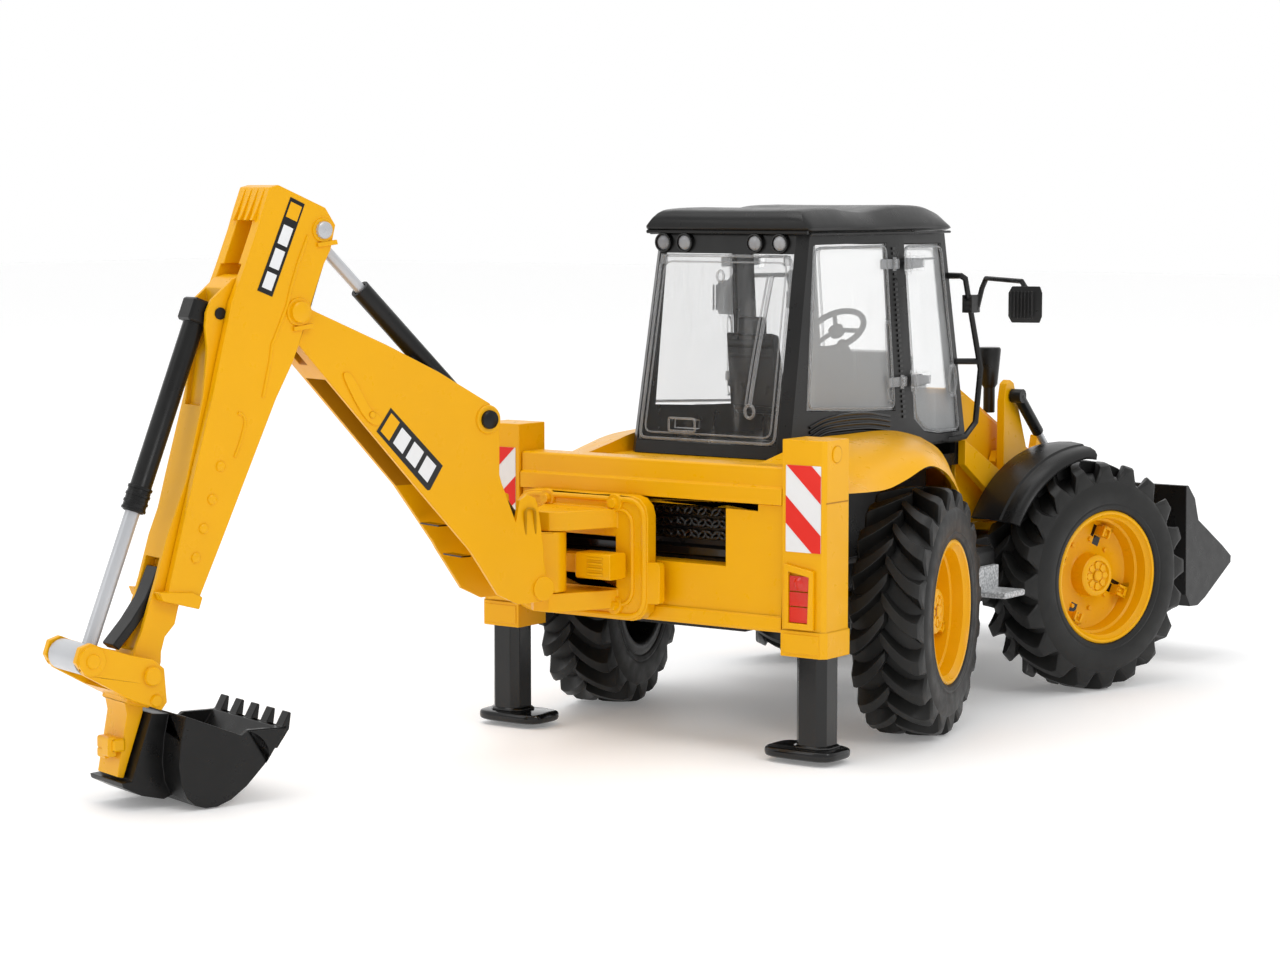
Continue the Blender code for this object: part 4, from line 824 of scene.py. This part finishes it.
def cab_side(side, flip):
    window = [side_rib(inset_outline(SIDE_WINDOW, 1.6), 0.1, 0.5, flip),
              side_rib([(33.8, 120), (35.4, 150), (38.4, 152), (36.8, 120)], 0.2, 0.3, flip)]
    piece("side_window_ribs_" + side, together(*window), CLEAR_EDGE, "base", edge=0)
    door = [side_rib(inset_outline(DOOR, 1.4), 0.1, 0.5, flip)]
    ring = [(flip * (side_x(-12, 124) + 1.6), -11.6 + math.cos(a) * 2.6, 126 + math.sin(a) * 6.0)
            for a in [2 * math.pi * k / 24 for k in range(24)]]
    door.append(sweep(ring, 0.75, 8, closed=True))
    door.append(block(sorted((flip * (side_x(-4, 176) + 0.2), flip * (side_x(-4, 176) + 0.6))), (-2, 20),
                      (173.6, 174.4)))
    for y, z in DOOR_HINGES:
        x = side_x(y, z)
        arm = rounded([(y - 12.0, z - 1.5), (y + 0.8, z - 2.2), (y + 0.8, z + 2.2), (y - 12.0, z + 1.5)], 0.6)
        door.append(prism([(p[0], p[1]) for p in arm], "x", *sorted((flip * (x + 1.5), flip * (x + 2.3)))))
    piece("door_trim_" + side, together(*door), CLEAR_EDGE, "door_" + side, edge=0)
    pads = []
    for y, z in DOOR_HINGES:
        x = side_x(y + 9, z)
        plate = rounded([(y + 4.0, z - 1.9), (y + 17.0, z - 1.9), (y + 17.0, z + 1.9), (y + 4.0, z + 1.9)],
                        0.7)
        pads.append(prism(plate, "x", *sorted((flip * (x + 0.2), flip * (x + 1.0)))))
        pads.append(block(sorted((flip * (x + 0.9), flip * (x + 1.8))), (y + 7.5, y + 9.0),
                          (z - 2.6, z + 2.6)))
    piece("hinge_pads_" + side, together(*pads), CLEAR_EDGE, "base", edge=0.1)
    ribs = []
    for k in range(4):
        drop = 1.9 * k
        arc = [(90.0, 113.6 - drop), (80.0, 116.0 - drop * 0.9), (66.0, 117.0 - drop), (50.0, 116.6 - drop),
               (36.0, 114.8 - drop)]
        points = [(flip * (side_x(y, z) + 0.1), y, z) for y, z in [tuple(p) for p in smooth_line(arc, 5)]]
        ribs.append(sweep(points, 0.6, 8))
    for k in range(34):
        z = 114.0 + 1.95 * k
        y = 24.6 + (z - 112.5) * 0.103 + 1.0
        x = flip * (side_x(y, z) + 0.15)
        ribs.append(block(sorted((x - 0.3, x + 0.3)), (y - 1.0, y + 1.0), (z - 0.5, z + 0.5)))
    piece("cab_side_ribs_" + side, together(*ribs), GLOSS_BLACK, "base", edge=0)


def mirror_ribs(side, flip):
    """Upright ribs on the back of the mirror."""
    ribs = [rod((65.2 + 1.5 * k, -7.25, 151.3), (65.2 + 1.5 * k, -7.25, 161.7), 0.4, 8,
                0.1) for k in range(7)]
    piece("mirror_ribs_" + side, sided(together(*ribs), flip), SATIN, "mirror_" + side, edge=0)


LIGHT_SPOTS = (28.5, 18.8, -12.8, -23.8)


def work_lights():
    """Four round lamps in black rings over the rear window."""
    z = 180.9
    y = rear_y(z)
    tilt = Vector((0, 1, -0.05))
    rings = [turned([(-0.5, 0), (-0.5, 3.9), (1.6, 3.6), (1.6, 3.0), (0.9, 2.9), (0.9, 0)], (x, y, z), tilt,
                    28)
             for x in LIGHT_SPOTS]
    lens = [turned([(0.8, 0), (0.8, 2.85), (1.3, 2.5), (1.7, 1.4), (1.8, 0)], (x, y, z), tilt, 28)
            for x in LIGHT_SPOTS]
    piece("work_light_rings", together(*rings), GLOSS_BLACK, "base", edge=0.12)
    piece("work_light_lenses", together(*lens), LAMP, "base", edge=0)


def seat_trim():
    """Padded rolls on the seat's back and cushion."""
    rolls = [rod((-10.4, 70.9 + 1.0 * k, 124.6 + 4.6 * k), (10.4, 70.9 + 1.0 * k, 124.6 + 4.6 * k), 2.3, 18,
                 0.8)
             for k in range(5)]
    cushion = [rod((-11.2, 50.5 + 4.6 * k, 122.6), (11.2, 50.5 + 4.6 * k, 122.6), 1.9, 18,
                   0.7) for k in range(4)]
    piece("seat_rolls", together(*rolls, *cushion), SATIN, "seat", edge=0)


def steering_wheel():
    axis = joint_axis("steering_axis")
    centre = Vector((-2.0, 19.0, 146.0))
    _, first, second = around(axis)
    ring = [centre + (first * math.cos(a) + second * math.sin(a)) * 11.4
            for a in [2 * math.pi * k / 48 for k in range(48)]]
    shapes = [sweep(ring, 1.2, 12, closed=True), rod(centre - axis * 2.2, centre + axis * 0.9, 3.0, 24)]
    for turn in (90, 210, 330):
        out = first * math.cos(math.radians(turn)) + second * math.sin(math.radians(turn))
        shapes.append(sweep([centre, centre + out * 11.0], 0.9, 8))
    piece("steering_wheel_round", together(*shapes), SATIN, "steering_wheel", edge=0,
          stands_for=["steering_wheel"])


# ---------------------------------------------------------------- loader
def loader():
    dress("loader_arms", YELLOW, 0.3)
    dress("loader_bucket", BLACK, 0.35)
    for side in ("left", "right"):
        dress("lift_ram_barrel_" + side, BLACK, 0.15)
        dress("lift_ram_rod_" + side, SILVER, 0.1)
    edge = prism([(-184.9, 39.6), (-184.9, 42.2), (-178, 45.6), (-177, 44.6), (-181.5, 41.0), (-176, 37.6),
                  (-177, 36.6)], "x", -76.9, 76.9)
    bolts = [rod((x, -180.6, 38.2), (x, -181.1, 37.0), 1.4, 12) for x in range(-66, 67, 22)]
    piece("loader_bucket_edge", together(edge, *bolts), BLACK, "loader_bucket", edge=0.2)
    pins = [rod((s * 34.0, y, z), (s * 35.4, y, z), 2.4, 20) for s in (-1, 1) for y,
            z in ((-134.0, 40.0), (-130.0, 57.0))]
    piece("loader_arm_pins", together(*pins), BLACK, "loader_arms", edge=0)


# ---------------------------------------------------------------- digging arm
SHIFT_X = 25.3
DIPPER_SIDE = 10.0
BOOM_SIDE = 8.1


def both_sides(make):
    return [sided(make(), side) for side in (-1, 1)]


def carriage():
    dress("carriage", YELLOW, 0.45)
    dress("king_post", YELLOW, 0.35)
    x0, x1, z0, z1 = SHIFT_X - 29.8, SHIFT_X + 29.8, 45.6, 91.0
    rim = rounded([(x0 + 1.6, z0 + 1.6), (x1 - 1.6, z0 + 1.6), (x1 - 1.6, z1 - 1.6), (x0 + 1.6, z1 - 1.6)],
                  8.0, 8)
    inner = rounded([(x0 + 6.8, z0 + 5.6), (x1 - 6.8, z0 + 5.6), (x1 - 6.8, z1 - 5.2), (x0 + 6.8, z1 - 5.2)],
                    6.5, 8)
    border = sweep([(x, 148.4, z) for x, z in rim], 1.1, 10, closed=True)
    ridge = sweep([(x, 148.6, z) for x, z in inner], 0.8, 10, closed=True)
    pads = [turned([(0, 0), (0, 3.6), (1.3, 3.2), (1.3, 0)], (x, 148.3, z), (0, 1, 0), 24)
            for x in (10.0, 40.6) for z in (88.0, 50.8)]
    heads = [turned([(0, 0), (0, 2.1), (1.6, 1.7), (1.6, 0)], (x, 149.4, z), (0, 1, 0), 8)
             for x in (10.0, 40.6) for z in (88.0, 50.8)]
    lever = [prism(rounded([(150.0, 61.2), (160.0, 61.2), (160.0, 70.6), (150.0, 70.6)], 1.4), "x", 4.0,
                   19.5)]
    lever += [block((7.0, 14.0), (159.8, 160.5), (62.6 + 1.9 * k, 63.6 + 1.9 * k)) for k in range(4)]
    lever.append(block((9.0, 30.0), (149.0, 156.0), (62.6, 69.4)))
    piece("carriage_trim", together(border, ridge, *pads, *heads), YELLOW, "carriage", edge=0.12)
    piece("carriage_lever", together(*lever), YELLOW, "carriage", edge=0.4)
    guide = prism(rounded([(-9.6, 52.4), (-2.8, 52.4), (-2.8, 67.4), (-9.6, 67.4)], 1.8), "y", 145.15, 148.4)
    piece("carriage_guide", guide, YELLOW, "carriage", edge=0.3)


def plate_decal(name, corners, side, lift, body, bars):
    """A black label with plain pale bars and a yellow tab, and no lettering."""
    (p, q, r, s) = [Vector(corner) for corner in corners]

    def spot(u, v):
        return tuple((p * (1 - u) + q * u) * (1 - v) + (s * (1 - u) + r * u) * v)

    def patch(u0, u1, v0, v1, level):
        outline = [spot(u0, v0), spot(u1, v0), spot(u1, v1), spot(u0, v1)]
        return prism(outline, "x", *sorted((side * (lift + level), side * (lift + level + 0.08))))

    piece(name + "_plate", patch(0, 1, 0, 1, 0.05), GLOSS_BLACK, body, ARM, 0)
    marks = [patch(u0, u1, 0.18, 0.82, 0.16) for u0, u1 in bars]
    piece(name + "_bars", together(*marks), WHITE, body, ARM, 0)
    piece(name + "_tab", patch(0.04, 0.20, 0.12, 0.88, 0.16), YELLOW, body, ARM, 0)


def boom():
    dress("boom", YELLOW, 0.3)
    # Painted shade: the boom's faces between its side walls take the darker yellow.
    shade_inside("boom", ARM, BOOM_SIDE - 0.8, SHADE_AND_SEAM_YELLOW)
    for node, material in (("boom_ram_barrel", BLACK), ("boom_ram_rod", SILVER), ("dipper_ram_barrel", BLACK),
                           ("dipper_ram_rod", SILVER)):
        dress(node, material, 0.15)
    tear = smooth_line([(90.4, 137.6), (88.4, 139.0), (85.8, 136.2), (80.2, 127.0), (76.0, 123.6),
                        (76.4, 120.9),
                        (80.0, 121.6), (84.4, 126.6)], 5, closed=True)
    details = both_sides(lambda: prism([tuple(p) for p in tear], "x", BOOM_SIDE - 0.2, BOOM_SIDE + 0.7))
    details += both_sides(lambda: rod((BOOM_SIDE, 79.4, 124.4), (BOOM_SIDE + 1.2, 79.4, 124.4), 1.3, 18))
    details += both_sides(lambda: turned([(0, 0), (0, 5.2), (0.8, 4.8), (0.8, 0)], (BOOM_SIDE, 31.6, 120.6),
                                         (1, 0, 0), 28))
    slot_edge = rounded([(13.6, 76.0), (17.8, 76.0), (17.8, 88.6), (13.6, 88.6)], 2.0, 5)
    details += both_sides(lambda: sweep([(11.0, y, z) for y, z in slot_edge], 0.5, 8, closed=True))
    piece("boom_embossing", together(*details), YELLOW, "boom", ARM, 0.2)
    pins = both_sides(lambda: turned([(0, 0), (0, 3.4), (1.5, 3.2), (1.9, 2.6), (1.9, 0)],
                                     (BOOM_SIDE + 0.4, 31.6, 120.6),
                                     (1, 0, 0), 28))
    piece("boom_ram_pins", together(*pins), BLACK, "boom", ARM, 0)
    # Painted shade: black plates standing for dark slots inside the boom.
    slots = [block((-5.8, 5.8), (s, s + 4.0), (z, z + 0.5)) for s, z in ((47.0, 84.0), (37.5, 72.5))]
    piece("boom_slot_shade", together(*slots), GLOSS_BLACK, "boom", ARM, 0)
    corners = [(71.6, 126.4), (50.6, 105.4), (56.4, 96.6), (77.4, 118.6)]
    bars = [(0.26, 0.44), (0.50, 0.68), (0.74, 0.92)]
    for name, side in (("left", 1), ("right", -1)):
        plate_decal("boom_label_" + name, corners, side, BOOM_SIDE, "boom", bars)


DIPPER_RIDGE = ((104.7, 185.2), (108.4, 176.7), (111.2, 168.7), (112.9, 162.6), (115.7, 156.1),
                (118.8, 149.5),
                (119.7, 143.9), (122.5, 132.2))


def dipper():
    dress("dipper_outer", YELLOW, 0.35)
    dress("dipper_inner", YELLOW, 0.3)
    dress("hose", SATIN, 0.5)
    out = DIPPER_SIDE
    details = both_sides(lambda: sweep([(out, y, z) for y, z in DIPPER_RIDGE], 0.65, 8))
    for y, z in ((142.0, 99.5), (145.3, 90.1), (148.3, 80.7), (138.7, 110.2)):
        details += both_sides(lambda y=y,
                              z=z: turned([(-0.2, 0), (-0.2, 1.9), (0.6, 1.6), (1.0, 0.8), (1.0, 0)],
                                                      (out, y, z), (1, 0, 0), 20))
    rib = smooth_line([(132.0, 127.4), (130.2, 126.6), (129.4, 124.0), (131.4, 117.4), (133.4, 113.0)], 4)
    details += both_sides(lambda: sweep([(out, p.x, p.y) for p in rib], 0.6, 8))
    for y, z, radius in ((108.5, 160.0, 4.9), (99.0, 187.0, 4.2)):
        details += both_sides(lambda y=y, z=z, radius=radius: turned(
            [(-0.2, 0), (-0.2, radius), (0.7, radius - 0.3), (0.7, 0)], (out, y, z), (1, 0, 0), 28))
        details += both_sides(lambda y=y, z=z, radius=radius: prism(
            [(y - 5.4, z - radius - 0.6), (y + 2.2, z - radius - 1.4), (y + 2.4, z - radius),
             (y - 5.0, z - radius + 1.0)],
            "x", out - 0.3, out + 1.0))
    for x in (-6.2, -2.1, 2.1, 6.2):
        back = [(116.9, 201.0), (119.4, 200.6), (122.6, 193.4), (124.2, 190.4), (122.6, 190.2)]
        details.append(prism(back, "x", x - 0.75, x + 0.75))
    piece("dipper_embossing", together(*details), YELLOW, "dipper", ARM, 0.18)
    pins = both_sides(lambda: turned([(0, 0), (0, 3.0), (1.2, 2.8), (1.5, 2.2), (1.5, 0)],
                                     (out + 0.6, 99.0, 187.0),
                                     (1, 0, 0), 24))
    piece("dipper_ram_pins", together(*pins), SILVER, "dipper", ARM, 0)
    pivots = both_sides(lambda: turned([(0, 0), (0, 3.8), (1.6, 3.5), (2.0, 2.8), (2.0, 0)],
                                       (out + 0.4, 108.5, 160.0),
                                       (1, 0, 0), 28))
    piece("dipper_pivot_caps", together(*pivots), YELLOW, "dipper", ARM, 0)
    corners = [(111.2, 198.0), (124.2, 167.4), (118.6, 165.2), (105.8, 195.6)]
    bars = [(0.28, 0.48), (0.53, 0.73), (0.78, 0.95)]
    for name, side in (("left", 1), ("right", -1)):
        plate_decal("dipper_label_" + name, corners, side, out, "dipper", bars)
    inner_pins = both_sides(lambda: rod((6.2, 136.2, 160.0), (7.2, 136.2, 160.0), 2.0, 20))
    piece("inner_dipper_pins", together(*inner_pins), BLACK, "inner_dipper", ARM, 0)


def bucket_end():
    dress("bucket_ram_barrel", BLACK, 0.2)
    dress("bucket_ram_rod", SILVER, 0.2)
    dress("rocker", YELLOW, 0.3)
    dress("backhoe_bucket", BLACK, 0.3)
    top, foot = Vector((0, 140.6, 161.3)), Vector((0, 183.4, 50.4))
    along = (foot - top).normalized()
    collars = [turned([(0, 0), (0, 4.15), (1.0, 4.15), (1.0, 0)], top + along * (61.4 + 2.4 * k), along, 28)
               for k in range(4)]
    piece("bucket_ram_collar", together(*collars), BLACK, "bucket_barrel", ARM, 0.15)
    bosses = both_sides(lambda: turned([(0, 0), (0, 2.6), (0.9, 2.2), (0.9, 0)], (12.7, 187.3, 50.4),
                                       (1, 0, 0), 20))
    bosses += both_sides(lambda: turned([(0, 0), (0, 3.2), (1.0, 2.8), (1.0, 0)], (12.6, 166.0, 43.6),
                                        (1, 0, 0), 20))
    bosses += both_sides(lambda: turned([(0, 0), (0, 2.2), (0.9, 1.8), (0.9, 0)], (12.0, 164.6, 35.4),
                                        (1, 0, 0), 20))
    piece("rocker_bosses", together(*bosses), YELLOW, "bucket_hitch", ARM, 0.12)
    hook = [prism(rounded([(176.4, 17.6), (179.4, 17.6), (179.4, 24.0), (176.4, 24.0)], 0.8), "x", -6.5,
                  -2.0),
            prism(rounded([(176.4, 16.4), (178.4, 16.4), (178.4, 19.6), (176.4, 19.6)], 0.8), "x", -2.2, 3.2)]
    piece("hitch_catch", together(*hook), YELLOW, "bucket_hitch", ARM, 0.2)
    curve = smooth_line([(130.7, 12.8), (129.9, 16.6), (131.5, 20.0), (134.4, 22.6), (137.4, 24.0)], 4)
    blade = [(122.9, 23.6)] + [tuple(point) for point in curve]
    plates = both_sides(lambda: prism(blade, "x", 22.8, 23.8))
    ridges = []
    for i in range(5):
        x = 20.6 * (i / 2 - 1)
        ridges.append(prism([(127.0, 18.6), (121.2, 28.6), (120.2, 28.0), (120.6, 22.6), (125.4, 16.6)], "x",
                            x - 0.5,
                            x + 0.5))
    piece("backhoe_bucket_trim", together(*plates, *ridges), BLACK, "bucket_hitch", ARM, 0.2)


# ---------------------------------------------------------------- stage
CAMERA_PLACE = (-629.93, 1017.03, 198.90)
CAMERA_YAW = math.radians(35.907)
CAMERA_DOWN = math.radians(5.433)
CAMERA_LENS = 84.52


def area_light(name, place, target, size, watts):
    data = bpy.data.lights.new(name, "AREA")
    data.shape = "DISK"
    data.size = size
    data.energy = watts
    light = bpy.data.objects.new(name, data)
    bpy.context.scene.collection.objects.link(light)
    light.location = place
    light.rotation_euler = (Vector(target) - Vector(place)).to_track_quat("-Z", "Y").to_euler()


def studio():
    scene = bpy.context.scene
    camera_data = bpy.data.cameras.new("camera")
    camera_data.lens = CAMERA_LENS
    camera_data.sensor_width = 36.0
    camera_data.clip_start = 0.01
    camera = bpy.data.objects.new("camera", camera_data)
    scene.collection.objects.link(camera)
    camera.location = MACHINE @ Vector(CAMERA_PLACE)
    level = math.cos(CAMERA_DOWN)
    forward = Vector((math.sin(CAMERA_YAW) * level, -math.cos(CAMERA_YAW) * level, -math.sin(CAMERA_DOWN)))
    camera.rotation_euler = forward.to_track_quat("-Z", "Y").to_euler()
    scene.camera = camera
    floor_shape = bmesh.new()
    bmesh.ops.create_grid(floor_shape, x_segments=4, y_segments=4, size=6.0)
    mesh = bpy.data.meshes.new("floor")
    floor_shape.to_mesh(mesh)
    floor_shape.free()
    mesh.materials.append(GROUND)
    floor = bpy.data.objects.new("floor", mesh)
    scene.collection.objects.link(floor)
    floor.location.z = -0.0002
    world = bpy.data.worlds.new("studio")
    scene.world = world
    world.use_nodes = True
    tree = world.node_tree
    direction = tree.nodes.new("ShaderNodeTexCoord")
    along = tree.nodes.new("ShaderNodeVectorMath")
    along.operation = "DOT_PRODUCT"
    along.inputs[1].default_value = tuple(forward)
    tree.links.new(direction.outputs["Generated"], along.inputs[0])
    light = ranged(tree, along.outputs["Value"], -0.3, 0.4, 0.74, 1.0)
    tree.nodes["Background"].inputs["Color"].default_value = (1.0, 1.0, 1.0, 1)
    tree.links.new(light, tree.nodes["Background"].inputs["Strength"])
    middle = (0, 0, 0.08)
    area_light("key", (-1.5, 0.55, 1.35), middle, 0.7, 6.5)
    area_light("top", (0.3, 0.3, 1.9), middle, 1.6, 11.0)
    area_light("rear", (0.9, 1.6, 0.9), middle, 0.9, 2.5)
    scene.view_settings.view_transform = "Standard"


wheels()
body()
cab()
loader()
carriage()
boom()
dipper()
bucket_end()
studio()
